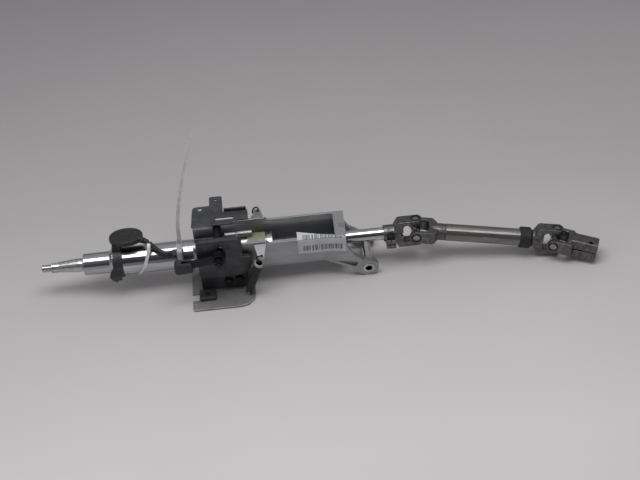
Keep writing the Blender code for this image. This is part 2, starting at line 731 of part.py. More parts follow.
# Pivot arms: plates that leave the walls and reach down to the bosses
boss_arc = []
for degrees in BOSS_ARC:
    angle = math.radians(degrees)
    boss_arc.append((
        PIVOT_X + BOSS_RADIUS * math.cos(angle),
        -PIVOT_DROP + BOSS_RADIUS * math.sin(angle),
    ))
arm_outline = [(PIVOT_X - back, height) for back, height in ARM_LOWER_EDGE]
arm_outline += boss_arc
arm_outline += [(PIVOT_X - back, height) for back, height in ARM_UPPER_EDGE]
pocket_outline = rounded([(PIVOT_X - back, height, corner) for back, height, corner in ARM_POCKET])
BLEND_START_X = PIVOT_X - ARM_BLEND_START
BLEND_END_X = PIVOT_X - ARM_BLEND_END
blend_slope = (ARM_REACH - CHANNEL_HALF_WIDTH) / (BLEND_END_X - BLEND_START_X)
for side in (-1, 1):
    low, high = sorted((side * (ARM_REACH - ARM_PLATE), side * ARM_REACH))
    arm = solid("pivot_arm_helper", prism(arm_outline, low, high, "Y"), ALUMINIUM, channel)
    near_line = (
        (BLEND_START_X - ARM_BLEND_RUN, side * (CHANNEL_HALF_WIDTH + EDGE / 10 - ARM_BLEND_RUN * blend_slope)),
        (BLEND_END_X, side * (ARM_REACH + EDGE / 10)),
        (BLEND_END_X, side * (ARM_REACH + ARM_PLATE)),
        (BLEND_START_X - ARM_BLEND_RUN, side * (ARM_REACH + ARM_PLATE)),
    )
    shaped(arm, "DIFFERENCE", prism(near_line, -PIVOT_DROP - BOSS_RADIUS - CUT_MARGIN, RIM_HEIGHT))
    arm.hide_render = True
    arm.display_type = "WIRE"
    join = channel.modifiers.new("pivot arm", "BOOLEAN")
    join.operation = "UNION"
    join.solver = "EXACT"
    join.object = arm
    pocket_low, pocket_high = sorted((
        side * (CHANNEL_HALF_WIDTH + EDGE), side * (ARM_REACH + CUT_MARGIN)
    ))
    shaped(channel, "DIFFERENCE", prism(pocket_outline, pocket_low, pocket_high, "Y"))
    low, high = sorted((side * (ARM_REACH - ARM_PLATE - CUT_MARGIN), side * (ARM_REACH + CUT_MARGIN)))
    hole_radius = BUSH_RADIUS + CLEARANCE
    shaped(channel, "DIFFERENCE", turned(
        ((low, hole_radius), (high, hole_radius)), SMALL_SIDES, "Y", (PIVOT_X, -PIVOT_DROP)
    ))
    # Spring ear at rim height, with the hole for the hook
    root = CHANNEL_HALF_WIDTH - WELD_DEPTH
    ear = [
        [
            Vector((EAR_X + half * sign, side * reach, top - thick))
            for sign, thick in ((-1, 0), (1, 0), (1, EAR_THICKNESS), (-1, EAR_THICKNESS))
        ]
        for half, reach, top in (
            (EAR_ROOT_HALF_WIDTH, root, RIM_HEIGHT),
            (EAR_TIP_HALF_WIDTH, EAR_REACH - EDGE * 2, RIM_HEIGHT - EAR_DROP),
            (EAR_TIP_HALF_WIDTH - EDGE * 2, EAR_REACH, RIM_HEIGHT - EAR_DROP),
        )
    ]
    shaped(channel, "UNION", ear)
    shaped(channel, "DIFFERENCE", turned(
        ((RIM_HEIGHT - EAR_DROP - CUT_MARGIN, EAR_HOLE_RADIUS), (RIM_HEIGHT + CUT_MARGIN, EAR_HOLE_RADIUS)),
        SMALL_SIDES // 2, "Z", (EAR_X, side * (EAR_REACH - EAR_HOLE_EDGE)),
    ))

# Bearing seat and clamp bolt holes
shaped(channel, "DIFFERENCE", turned((
    (SEAT_START_X - BEARING_LIP - CUT_MARGIN, LOWER_BEARING_SPLIT + RUNNING_GAP),
    (SEAT_START_X, LOWER_BEARING_SPLIT + RUNNING_GAP),
    (SEAT_START_X, SEAT_RADIUS),
    (CHANNEL_END_X + CUT_MARGIN, SEAT_RADIUS),
)))
shaped(channel, "DIFFERENCE", turned((
    (-CHANNEL_HALF_WIDTH - CUT_MARGIN, CLAMP_BOLT_RADIUS + CLEARANCE),
    (CHANNEL_HALF_WIDTH + CUT_MARGIN, CLAMP_BOLT_RADIUS + CLEARANCE),
), SMALL_SIDES, "Y", (CLAMP_X, CLAMP_RISE)))

# Pivot tube and bushes
bush_inside = ARM_REACH - ARM_PLATE
solid("pivot_tube", turned((
    (-bush_inside + CLEARANCE, PIVOT_TUBE_RADIUS),
    (bush_inside - CLEARANCE, PIVOT_TUBE_RADIUS),
    (bush_inside - CLEARANCE, PIVOT_BORE_RADIUS),
    (-bush_inside + CLEARANCE, PIVOT_BORE_RADIUS),
), SMALL_SIDES, "Y"), BRIGHT_STEEL, pivot, endless=True)
for name, side in (("pivot_bush_near", -1), ("pivot_bush_far", 1)):
    solid(name, turned((
        (side * bush_inside, PIVOT_BORE_RADIUS),
        (side * bush_inside, BUSH_RADIUS),
        (side * (ARM_REACH + BUSH_PROUD - EDGE / 2), BUSH_RADIUS),
        (side * (ARM_REACH + BUSH_PROUD), BUSH_RADIUS - EDGE / 2),
        (side * (ARM_REACH + BUSH_PROUD), PIVOT_BORE_RADIUS),
    ), SMALL_SIDES, "Y"), BRIGHT_STEEL, pivot, endless=True)

# Trim carrier on the far wall
CARRIER_UNDERSIDE = raised + CLEARANCE
wall_face = CHANNEL_HALF_WIDTH + CLEARANCE
carrier_outline = rounded((
    (CARRIER_START_X, CARRIER_NEAR_Y, EDGE),
    (CARRIER_NEAR_END_X, CARRIER_NEAR_Y, CARRIER_CORNER / 2),
    (CARRIER_NEAR_END_X, inside_half + EDGE, EDGE),
    (CARRIER_END_X, inside_half + EDGE, EDGE),
    (CARRIER_END_X, CARRIER_LIP_Y, EDGE * 3),
    (CARRIER_TAB[1] + EDGE, CARRIER_LIP_Y, EDGE),
    (CARRIER_TAB[1], CARRIER_TAB_FAR_Y, EDGE * 4),
    (CARRIER_TAB[0] + EDGE, CARRIER_TAB_FAR_Y, EDGE * 4),
    (CARRIER_TAB[0], CARRIER_FAR_Y, EDGE * 2),
    (CARRIER_START_X + CARRIER_CORNER / 2, CARRIER_FAR_Y, CARRIER_CORNER),
))
carrier = solid(
    "trim_carrier",
    prism(carrier_outline, CARRIER_UNDERSIDE, CARRIER_UNDERSIDE + CARRIER_THICKNESS),
    DARK_STEEL,
    column,
)
softened(carrier, EDGE / 2)
shaped(carrier, "UNION", box(
    (CARRIER_FLANGE_START_X, CARRIER_FLANGE_END_X),
    (wall_face, wall_face + CARRIER_THICKNESS),
    (CARRIER_FLANGE_FOOT, CARRIER_UNDERSIDE + WELD_DEPTH),
))
shaped(carrier, "UNION", box(
    (CARRIER_LIP_START_X, CARRIER_END_X - EDGE * 3),
    (CARRIER_LIP_Y - CARRIER_THICKNESS, CARRIER_LIP_Y - EDGE / 2),
    (CARRIER_UNDERSIDE + WELD_DEPTH, CARRIER_UNDERSIDE + CARRIER_THICKNESS + CARRIER_LIP_HEIGHT),
))
cut_low = CARRIER_UNDERSIDE - CUT_MARGIN / 2
cut_high = CARRIER_UNDERSIDE + CARRIER_THICKNESS + CUT_MARGIN
for x, y, radius in (CARRIER_HOLE, CARRIER_TAB_HOLE):
    shaped(carrier, "DIFFERENCE", turned(((cut_low, radius), (cut_high, radius)), SMALL_SIDES, "Z", (x, y)))
slot = slot_outline(
    CARRIER_SLOT[0] + CARRIER_SLOT[3], CARRIER_SLOT[1] - CARRIER_SLOT[3], CARRIER_SLOT[2], CARRIER_SLOT[3]
)
shaped(carrier, "DIFFERENCE", prism(slot, cut_low, cut_high))

# Guide bushes, lower half shells between the tube and the channel
for name, start in (("guide_bush_front", GUIDE_FRONT_X), ("guide_bush_rear", GUIDE_REAR_X)):
    shell = []
    steps = 16
    for radius, order in ((TUBE_RADIUS + CLEARANCE, 1), (inside_half - CLEARANCE, -1)):
        for step in range(0, steps + 1)[::order]:
            angle = math.radians(270) - GUIDE_WRAP / 2 + GUIDE_WRAP * step / steps
            shell.append((radius * math.cos(angle), radius * math.sin(angle)))
    solid(name, prism(shell, start, start + GUIDE_LENGTH, "X"), WHITE_PLASTIC, column)

# Clamp: bolt, spacer, washer, fixed cam, lever, grip and nut along one cross axis
clamp = empty("clamp_axis", Matrix.Translation((CLAMP_X, 0, CLAMP_RISE)), column)
BOLT_HOLE = CLAMP_BOLT_RADIUS + CLEARANCE
HUB_FACE = CHEEK_OUTSIDE + CLEARANCE + FIXED_CAM_WIDTH + CLEARANCE
NUT_FACE = HUB_FACE + LEVER_HUB_WIDTH + CLEARANCE
BOLT_END = NUT_FACE + CLAMP_NUT_THICKNESS + CLAMP_BOLT_END
bolt = solid("clamp_bolt", turned((
    (-BOLT_END, CLAMP_BOLT_RADIUS - EDGE),
    (-BOLT_END + EDGE, CLAMP_BOLT_RADIUS),
    (wall_face + WELD_DEPTH, CLAMP_BOLT_RADIUS),
), SMALL_SIDES, "Y"), ZINC, clamp)
shaped(bolt, "UNION", box(
    (-CLAMP_HEAD_LENGTH / 2, CLAMP_HEAD_LENGTH / 2),
    (wall_face, wall_face + CLAMP_HEAD_THICKNESS),
    (-CLAMP_HEAD_HEIGHT / 2, CLAMP_HEAD_HEIGHT / 2),
))


def sleeve(name, low, high, inside, outside, material, sides=ROUND_SIDES):
    """A plain ring on the clamp axis with broken outer edges."""
    return solid(name, turned((
        (low, inside),
        (low, outside - EDGE / 2),
        (low + EDGE / 2, outside),
        (high - EDGE / 2, outside),
        (high, outside - EDGE / 2),
        (high, inside),
    ), sides, "Y"), material, clamp, endless=True)


sleeve("clamp_spacer", -inside_half + CLEARANCE, inside_half - CLEARANCE,
       BOLT_HOLE, SPACER_RADIUS, BLACK_STEEL, SMALL_SIDES)
sleeve("clamp_washer", -CHEEK_INSIDE + CLEARANCE, -wall_face, BOLT_HOLE, SPACER_RADIUS + CLAMP_BOLT_RADIUS, ZINC)
sleeve("fixed_cam", -HUB_FACE + CLEARANCE, -CHEEK_OUTSIDE - CLEARANCE, BOLT_HOLE, CAM_RADIUS, ZINC)
lever = sleeve("clamp_lever", -HUB_FACE - LEVER_HUB_WIDTH, -HUB_FACE, BOLT_HOLE, CAM_RADIUS, BLACK_STEEL)
lever_outline = rounded((
    (-CAM_RADIUS / 2, -LEVER_HALF_WIDTH * 1.4, 0),
    (-CAM_RADIUS / 2, LEVER_HALF_WIDTH * 1.4, 0),
    (-CAM_RADIUS - LEVER_HALF_WIDTH, LEVER_HALF_WIDTH, LEVER_HALF_WIDTH),
    (-LEVER_LENGTH, LEVER_HALF_WIDTH - LEVER_DROP, EDGE * 3),
    (-LEVER_LENGTH, -LEVER_HALF_WIDTH - LEVER_DROP, EDGE * 3),
    (-CAM_RADIUS - LEVER_HALF_WIDTH, -LEVER_HALF_WIDTH - LEVER_DROP / 4, LEVER_HALF_WIDTH),
))
LEVER_NEAR = -HUB_FACE - EDGE - LEVER_THICKNESS
LEVER_FAR = -HUB_FACE - EDGE
shaped(lever, "UNION", prism(lever_outline, LEVER_NEAR, LEVER_FAR, "Y"))

# Moulded grip pushed over the lever's end
grip_middle = (LEVER_NEAR + LEVER_FAR) / 2
grip_outline = rounded((
    (-GRIP_START, -LEVER_DROP - GRIP_HEIGHT / 2 + EDGE * 3, EDGE * 5),
    (-GRIP_START, -LEVER_DROP + GRIP_HEIGHT / 2 - EDGE * 3, EDGE * 5),
    (-GRIP_START - GRIP_LENGTH, -LEVER_DROP + GRIP_HEIGHT / 2, EDGE * 8),
    (-GRIP_START - GRIP_LENGTH, -LEVER_DROP - GRIP_HEIGHT / 2, EDGE * 8),
))
grip = solid("lever_grip", prism(
    grip_outline, grip_middle - GRIP_DEPTH / 2, grip_middle + GRIP_DEPTH / 2, "Y"
), BLACK_PLASTIC, clamp)
softened(grip, EDGE * 3)
shaped(grip, "DIFFERENCE", box(
    (-LEVER_LENGTH - CLEARANCE, -GRIP_START + CUT_MARGIN),
    (LEVER_NEAR - CLEARANCE, LEVER_FAR + CLEARANCE),
    (-LEVER_DROP - LEVER_HALF_WIDTH - CLEARANCE, -LEVER_DROP + LEVER_HALF_WIDTH + EDGE * 7),
))
nut_ring = [
    hexagon(CLAMP_NUT_FLATS, SMALL_SIDES, "Y", -NUT_FACE),
    hexagon(CLAMP_NUT_FLATS, SMALL_SIDES, "Y", -NUT_FACE - CLAMP_NUT_THICKNESS + EDGE),
    hexagon(CLAMP_NUT_FLATS - 2 * EDGE, SMALL_SIDES, "Y", -NUT_FACE - CLAMP_NUT_THICKNESS),
]
nut_ring += turned((
    (-NUT_FACE - CLAMP_NUT_THICKNESS, BOLT_HOLE), (-NUT_FACE, BOLT_HOLE)
), SMALL_SIDES, "Y")
solid("clamp_nut", nut_ring, ZINC, clamp, endless=True)

# Lower bearing and its retaining ring
bearing_low = SEAT_START_X + CLEARANCE
bearing_high = bearing_low + LOWER_BEARING_WIDTH
for name, outside, inside in (
    ("lower_bearing_outer", LOWER_BEARING_RADIUS, LOWER_BEARING_SPLIT + CLEARANCE / 2),
    ("lower_bearing_inner", LOWER_BEARING_SPLIT - CLEARANCE / 2, LOWER_SHAFT_RADIUS + CLEARANCE),
):
    solid(name, turned((
        (bearing_low, outside - EDGE / 2), (bearing_low + EDGE / 2, outside),
        (bearing_high - EDGE / 2, outside), (bearing_high, outside - EDGE / 2),
        (bearing_high, inside), (bearing_low, inside),
    )), BRIGHT_STEEL, column, endless=True)
retainer = solid("bearing_retainer", turned((
    (bearing_high + CLEARANCE, LOWER_BEARING_RADIUS),
    (bearing_high + CLEARANCE + RETAINER_THICKNESS, LOWER_BEARING_RADIUS),
    (bearing_high + CLEARANCE + RETAINER_THICKNESS, LOWER_BEARING_RADIUS - RETAINER_DEPTH),
    (bearing_high + CLEARANCE, LOWER_BEARING_RADIUS - RETAINER_DEPTH),
)), BLACK_STEEL, column, endless=True)
shaped(retainer, "DIFFERENCE", box(
    (bearing_low, CHANNEL_END_X + CUT_MARGIN),
    (-RETAINER_MOUTH / 2, RETAINER_MOUTH / 2),
    (0, LOWER_BEARING_RADIUS + CUT_MARGIN),
))

# Jacket tube with its ground end, and the bearing housing pressed into it
tube_inside = TUBE_RADIUS - TUBE_WALL
ring_start = TUBE_END_X - TUBE_RING_LENGTH
solid("jacket_tube", turned((
    (TUBE_START_X, tube_inside),
    (TUBE_START_X, TUBE_RADIUS - EDGE / 2),
    (TUBE_START_X + EDGE / 2, TUBE_RADIUS),
    (ring_start, TUBE_RADIUS),
    (ring_start + EDGE / 2, TUBE_RADIUS - TUBE_RING_STEP * 3),
    (ring_start + EDGE * 2, TUBE_RADIUS - TUBE_RING_STEP * 3),
    (ring_start + EDGE * 2.5, TUBE_RADIUS - TUBE_RING_STEP),
    (TUBE_END_X - EDGE, TUBE_RADIUS - TUBE_RING_STEP),
    (TUBE_END_X, TUBE_RADIUS - TUBE_RING_STEP - EDGE),
    (TUBE_END_X, tube_inside),
), TUBE_SIDES), TUBE_STEEL, column, endless=True)
plug_radius = tube_inside - CLEARANCE
flange_end = TUBE_START_X - CLEARANCE
seat_inside = UPPER_BEARING_RADIUS + CLEARANCE
seat_low = HOUSING_START_X + HOUSING_LIP
seat_high = seat_low + UPPER_BEARING_WIDTH + 2 * CLEARANCE
solid("bearing_housing", turned((
    (HOUSING_START_X, UPPER_BEARING_SPLIT + RUNNING_GAP),
    (HOUSING_START_X, HOUSING_RADIUS - EDGE),
    (HOUSING_START_X + EDGE, HOUSING_RADIUS - EDGE / 3),
    (flange_end - HOUSING_FLANGE * 2, HOUSING_RADIUS + EDGE / 3),
    (flange_end - HOUSING_FLANGE / 2, TUBE_RADIUS - EDGE / 2),
    (flange_end, TUBE_RADIUS - EDGE / 2),
    (flange_end, plug_radius),
    (TUBE_START_X + HOUSING_PLUG_LENGTH, plug_radius),
    (TUBE_START_X + HOUSING_PLUG_LENGTH, plug_radius - TUBE_WALL),
    (flange_end - HOUSING_FLANGE, HOUSING_RADIUS - TUBE_WALL),
    (seat_high + CLEARANCE, HOUSING_RADIUS - TUBE_WALL),
    (seat_high, seat_inside),
    (seat_low, seat_inside),
    (seat_low, UPPER_BEARING_SPLIT + RUNNING_GAP),
)), TUBE_STEEL, column, endless=True)
for name, outside, inside in (
    ("upper_bearing_outer", UPPER_BEARING_RADIUS, UPPER_BEARING_SPLIT + CLEARANCE / 2),
    ("upper_bearing_inner", UPPER_BEARING_SPLIT - CLEARANCE / 2, UPPER_SHAFT_RADIUS + CLEARANCE),
):
    start = seat_low + CLEARANCE
    solid(name, turned((
        (start, outside - EDGE / 3), (start + EDGE / 3, outside),
        (start + UPPER_BEARING_WIDTH, outside), (start + UPPER_BEARING_WIDTH, inside), (start, inside),
    )), BRIGHT_STEEL, column, endless=True)

# Band round the tube with the post that carries the coil, and its pointed tail
band_inside = TUBE_RADIUS + CLEARANCE
band_outside = band_inside + BAND_THICKNESS
band_end = BAND_START_X + BAND_LENGTH
band = solid("coil_band", turned((
    (BAND_START_X, band_outside - EDGE), (BAND_START_X + EDGE, band_outside),
    (band_end - EDGE, band_outside), (band_end, band_outside - EDGE),
)), BLACK_PLASTIC, column)
shaped(band, "UNION", box(
    (BAND_START_X + EDGE, band_end - EDGE),
    (-band_inside / 8, COIL_CENTRE[1]),
    (0, COIL_UNDERSIDE - CLEARANCE),
))
tail = [
    (-band_outside + EDGE, -BAND_LENGTH / 2),
    (-band_outside / 2, -BAND_TAIL_DROP),
    (-band_outside / 4, -BAND_TAIL_DROP),
    (0, -band_inside + WELD_DEPTH),
    (0, -BAND_LENGTH / 2),
]
shaped(band, "UNION", prism(tail, BAND_START_X + EDGE * 3, band_end - EDGE * 3, "X"))
shaped(band, "DIFFERENCE", turned((
    (BAND_START_X - CUT_MARGIN, band_inside), (band_end + CUT_MARGIN, band_inside)
), TUBE_SIDES))

# Flat coil with a shallow dish, lying on the post
coil_top = COIL_UNDERSIDE + COIL_THICKNESS
coil = solid("reader_coil", turned((
    (COIL_UNDERSIDE, COIL_RADIUS - EDGE * 2),
    (COIL_UNDERSIDE + EDGE * 2, COIL_RADIUS),
    (coil_top - EDGE * 3, COIL_RADIUS),
    (coil_top - EDGE, COIL_RADIUS - EDGE),
    (coil_top, COIL_RADIUS - EDGE * 3),
    (coil_top, COIL_RECESS_RADIUS),
    (coil_top - COIL_RECESS_DEPTH, COIL_RECESS_RADIUS - EDGE),
), ROUND_SIDES, "Z", COIL_CENTRE), BLACK_PLASTIC, column)

# Cable from the coil along the tube to its plug
ride_y = -CABLE_RIDE * math.cos(CABLE_ANGLE)
ride_z = CABLE_RIDE * math.sin(CABLE_ANGLE)
cable_mid = COIL_UNDERSIDE + COIL_THICKNESS / 2
cable_way = Vector((math.cos(CABLE_EXIT), math.sin(CABLE_EXIT), 0))
cable_exit = Vector((*COIL_CENTRE, cable_mid)) + cable_way * (COIL_RADIUS + RUNNING_GAP)
cable_points = [
    cable_exit,
    cable_exit + cable_way * CABLE_RADIUS,
    Vector((-0.112, 0.0005, cable_mid - 0.001)),
    Vector((-0.106, -0.0055, 0.0275)),
    Vector((-0.0985, -0.0110, 0.0240)),
    Vector((-0.090, ride_y, ride_z)),
    Vector((PLUG_START_X, ride_y, ride_z)),
]
solid("coil_cable", swept(curve_through(cable_points, 4), round_section(CABLE_RADIUS, 10)),
      BLACK_PLASTIC, column)
plug = solid("cable_plug", prism(rounded((
    (-PLUG_HALF_WIDTH, -PLUG_HALF_HEIGHT, EDGE),
    (PLUG_HALF_WIDTH, -PLUG_HALF_HEIGHT, EDGE),
    (PLUG_HALF_WIDTH, PLUG_HALF_HEIGHT, EDGE),
    (-PLUG_HALF_WIDTH, PLUG_HALF_HEIGHT, EDGE),
)), 0, PLUG_LENGTH, "X"), BLACK_PLASTIC, column,
    turn=Matrix.Rotation(math.radians(90) - CABLE_ANGLE, 3, "X"),
    place=(PLUG_START_X + CLEARANCE, ride_y, ride_z))


def belt(circles, count):
    """Evenly spaced points on the hull of circles given as (y, z, radius)."""
    points = []
    for step in range(count):
        angle = 2 * math.pi * step / count
        spoke = Vector((math.cos(angle), math.sin(angle)))
        reach = max(Vector((y, z)).dot(spoke) + radius for y, z, radius in circles)
        points.append((angle, reach))
    hull = []
    for (a, first), (b, second) in zip(points, points[1:] + points[:1]):
        cross = math.sin(b - a)
        y = (first * math.sin(b) - second * math.sin(a)) / cross
        z = (second * math.cos(a) - first * math.cos(b)) / cross
        hull.append((y, z))
    return hull


def strap(circles, x, lean, width, thickness, count=32):
    """Rings of a flat strap round circles, leaning along the column."""
    rings = []
    hull = belt(circles, count)
    for y, z in hull:
        outward = Vector((0, y, z)).normalized()
        middle = Vector((x + lean * outward.z, y, z))
        half = Vector((width / 2, 0, 0))
        thick = outward * thickness
        rings.append([middle - half, middle + half, middle + half + thick, middle - half + thick])
    return rings


tube_ring = (0, 0, TUBE_RADIUS + CLEARANCE)
cable_rings = [(point.y, point.z, CABLE_RADIUS + 2 * RUNNING_GAP) for point in cable_points[2:4]]
tie = solid("cable_tie", strap(
    (tube_ring, *cable_rings), CABLE_TIE_X, CABLE_TIE_LEAN, TIE_WIDTH, TIE_THICKNESS
), WHITE_PLASTIC, column, endless=True)
plug_ring = (ride_y, ride_z, math.hypot(PLUG_HALF_WIDTH, PLUG_HALF_HEIGHT) + CLEARANCE)
tag = solid("tag_tie", strap(
    (tube_ring, plug_ring), TAG_TIE_X, TAG_TIE_LEAN, TAG_WIDTH, TAG_THICKNESS
), WHITE_PLASTIC, column, endless=True)
outward = Vector((0, math.cos(TAG_TAIL_ANGLE), math.sin(TAG_TAIL_ANGLE)))
tail_start = outward * (TUBE_RADIUS + CLEARANCE + TAG_THICKNESS / 2)
tail_start.x = TAG_TIE_X + TAG_TIE_LEAN * outward.z
tail_path = curve_through([tail_start + Vector(point) for point in TAG_TAIL], 4)
half_width = TAG_WIDTH / 2 - EDGE / 2
half_thick = TAG_THICKNESS / 2
tail_rings = swept(tail_path, (
    (-half_width, -half_thick), (half_width, -half_thick), (half_width, half_thick), (-half_width, half_thick)
))
for step, (centre, ring) in enumerate(zip(tail_path, tail_rings)):
    share = 1 - TAG_TAIL_TAPER * step / len(tail_path)
    ring[:] = [centre + (point - centre) * share for point in ring]
shaped(tag, "UNION", tail_rings)

# Stop rod lying on the tube
rod_height = math.sqrt((TUBE_RADIUS + CLEARANCE + ROD_RADIUS) ** 2 - ROD_Y**2)
rod_neck = ROD_START_X + 0.016
solid("stop_rod", turned((
    (ROD_START_X, ROD_RADIUS - EDGE * 2),
    (ROD_START_X + EDGE, ROD_RADIUS - EDGE),
    (rod_neck, ROD_RADIUS - EDGE),
    (rod_neck + EDGE, ROD_RADIUS - EDGE * 3),
    (rod_neck + EDGE * 4, ROD_RADIUS - EDGE * 3),
    (rod_neck + EDGE * 5, ROD_RADIUS),
    (ROD_END_X - EDGE, ROD_RADIUS),
    (ROD_END_X, ROD_RADIUS - EDGE),
), SMALL_SIDES, "X", (ROD_Y, rod_height)), BRIGHT_STEEL, column)

# Upper shaft, turned in one piece
serration = SHAFT_TIP_X + THREAD_LENGTH
taper = serration + SERRATION_LENGTH
neck = taper + TAPER_LENGTH
solid("upper_shaft", turned((
    (SHAFT_TIP_X, THREAD_RADIUS - EDGE),
    (SHAFT_TIP_X + EDGE, THREAD_RADIUS),
    (serration - EDGE, THREAD_RADIUS),
    (serration, SERRATION_RADIUS - EDGE),
    (serration + EDGE, SERRATION_RADIUS),
    (taper, SERRATION_RADIUS),
    (taper + EDGE, TAPER_START_RADIUS),
    (neck, TAPER_END_RADIUS),
    (neck + EDGE * 2, TAPER_END_RADIUS - EDGE / 3),
    (HOUSING_START_X - CLEARANCE, UPPER_SHAFT_RADIUS),
    (SPLINE_START_X, UPPER_SHAFT_RADIUS),
    (SPLINE_START_X + EDGE * 3, SPLINE_RADIUS),
    (SPLINE_END_X - EDGE, SPLINE_RADIUS),
    (SPLINE_END_X, SPLINE_RADIUS - EDGE),
)), BRIGHT_STEEL, column)

# Lower shaft, hollow where the upper shaft's spline slides in it
joint_1 = empty("joint_1", Matrix.Translation((JOINT_1_X, 0, 0)) @ Matrix.Rotation(JOINT_1_ROLL, 4, "X"), column)
shaft_end = JOINT_1_X - FORK_SHOULDER
bore = SPLINE_RADIUS + CLEARANCE
bore_end = LOWER_SHAFT_START_X + LOWER_SHAFT_BORE_LENGTH
lower_shaft = solid("lower_shaft", turned((
    (LOWER_SHAFT_START_X, LOWER_SHAFT_RADIUS - EDGE),
    (LOWER_SHAFT_START_X + EDGE, LOWER_SHAFT_RADIUS),
    (shaft_end - EDGE, LOWER_SHAFT_RADIUS),
    (shaft_end, LOWER_SHAFT_RADIUS - EDGE),
)), BRIGHT_STEEL, column)
shaped(lower_shaft, "DIFFERENCE", turned((
    (LOWER_SHAFT_START_X - CUT_MARGIN, bore), (bore_end, bore)
), SMALL_SIDES))


def fork(name, hub_end, hub_radius, material, parent, turn=None, place=(0, 0, 0)):
    """A forked yoke: hub towards its own -X, pin axis along its own Z, joint centre at its origin."""
    outline = rounded((
        (-FORK_SHOULDER - EDGE * 4, -hub_radius * 0.86, EDGE),
        (-FORK_SHOULDER + EDGE * 6, -FORK_OUTSIDE, EDGE * 8),
        (FORK_HALF_WIDTH * 1.2, -FORK_OUTSIDE, EDGE),
        (FORK_HALF_WIDTH * 1.2, -FORK_INSIDE, EDGE),
        (-FORK_THROAT, -FORK_INSIDE, EDGE * 8),
        (-FORK_THROAT, FORK_INSIDE, EDGE * 8),
        (FORK_HALF_WIDTH * 1.2, FORK_INSIDE, EDGE),
        (FORK_HALF_WIDTH * 1.2, FORK_OUTSIDE, EDGE),
        (-FORK_SHOULDER + EDGE * 6, FORK_OUTSIDE, EDGE * 8),
        (-FORK_SHOULDER - EDGE * 4, hub_radius * 0.86, EDGE),
    ))
    yoke = solid(name, prism(outline, -FORK_HALF_WIDTH, FORK_HALF_WIDTH, "Y"),
                 material, parent, turn=turn, place=place)
    softened(yoke, EDGE)
    ends = slot_outline(-hub_end - CUT_MARGIN, 0, 0, FORK_HALF_WIDTH + EDGE / 2)
    shaped(yoke, "INTERSECT", prism(ends, -FORK_OUTSIDE - CUT_MARGIN, FORK_OUTSIDE + CUT_MARGIN))
    if hub_radius > 0:
        shaped(yoke, "UNION", turned((
            (-hub_end, hub_radius - EDGE), (-hub_end + EDGE, hub_radius),
            (-FORK_SHOULDER, hub_radius), (-FORK_THROAT - EDGE * 4, FORK_HALF_WIDTH),
        )))
    shaped(yoke, "DIFFERENCE", turned((
        (-FORK_OUTSIDE - CUT_MARGIN, CUP_RADIUS + CLEARANCE), (FORK_OUTSIDE + CUT_MARGIN, CUP_RADIUS + CLEARANCE)
    ), SMALL_SIDES, "Z"))
    return yoke


def cross_set(number, parent):
    """A cross in its own frame, with pins along its Y and Z, and its four bearing cups."""
    pin_end = FORK_OUTSIDE - CUP_FLOOR - 2 * CLEARANCE
    profile = (
        (-pin_end, PIN_RADIUS - EDGE), (-pin_end + EDGE, PIN_RADIUS), (-CROSS_SHOULDER, PIN_RADIUS),
        (-CROSS_SHOULDER + EDGE, CROSS_RADIUS), (CROSS_SHOULDER - EDGE, CROSS_RADIUS),
        (CROSS_SHOULDER, PIN_RADIUS), (pin_end - EDGE, PIN_RADIUS), (pin_end, PIN_RADIUS - EDGE),
    )
    cross = solid(f"cross_{number}", turned(profile, SMALL_SIDES, "Z"), BRIGHT_STEEL, parent)
    shaped(cross, "UNION", turned(profile, SMALL_SIDES, "Y"))
    return cross


def cup(name, parent, axis, side):
    """A bearing cup over one pin of a cross, flush with its fork."""
    cup_low = CROSS_SHOULDER + CLEARANCE
    cup_high = FORK_OUTSIDE - CLEARANCE
    floor = cup_high - CUP_FLOOR
    inside = PIN_RADIUS + CLEARANCE
    profile = (
        (side * floor, inside), (side * cup_low, inside), (side * cup_low, CUP_RADIUS - EDGE / 2),
        (side * (cup_low + EDGE / 2), CUP_RADIUS), (side * (cup_high - EDGE), CUP_RADIUS),
        (side * cup_high, CUP_RADIUS - EDGE),
    )
    return solid(name, turned(profile, SMALL_SIDES, axis), BRIGHT_STEEL, parent)


# First yoke, clamped on the lower shaft by a pinch bolt
yoke_1 = fork("yoke_1", YOKE_1_HUB_END, YOKE_1_HUB_RADIUS, FORGED_STEEL, joint_1)
lug_middle = -YOKE_1_HUB_END + EDGE * 4 + PINCH_LUG_LENGTH / 2
shaped(yoke_1, "UNION", prism(rounded((
    (-PINCH_LUG_REACH, -PINCH_LUG_FOOT, EDGE * 5),
    (0, -PINCH_LUG_FOOT + EDGE, 0),
    (0, PINCH_LUG_TOP, 0),
    (-PINCH_LUG_REACH, PINCH_LUG_TOP, EDGE * 2),
)), lug_middle - PINCH_LUG_LENGTH / 2, lug_middle + PINCH_LUG_LENGTH / 2, "X"))
shaped(yoke_1, "DIFFERENCE", turned((
    (-YOKE_1_HUB_END - CUT_MARGIN, LOWER_SHAFT_RADIUS + CLEARANCE),
    (-FORK_THROAT + CUT_MARGIN, LOWER_SHAFT_RADIUS + CLEARANCE),
)))
lug_slot = (PINCH_LUG_TOP - PINCH_LUG_FOOT) / 2
shaped(yoke_1, "DIFFERENCE", box(
    (-YOKE_1_HUB_END - CUT_MARGIN, lug_middle + PINCH_LUG_LENGTH / 2 + EDGE),
    (-PINCH_LUG_REACH - CUT_MARGIN, 0),
    (lug_slot - PINCH_SLOT / 2, lug_slot + PINCH_SLOT / 2),
))
pinch_y = -YOKE_1_HUB_RADIUS - PINCH_BOLT_FLATS / math.sqrt(3) - RUNNING_GAP
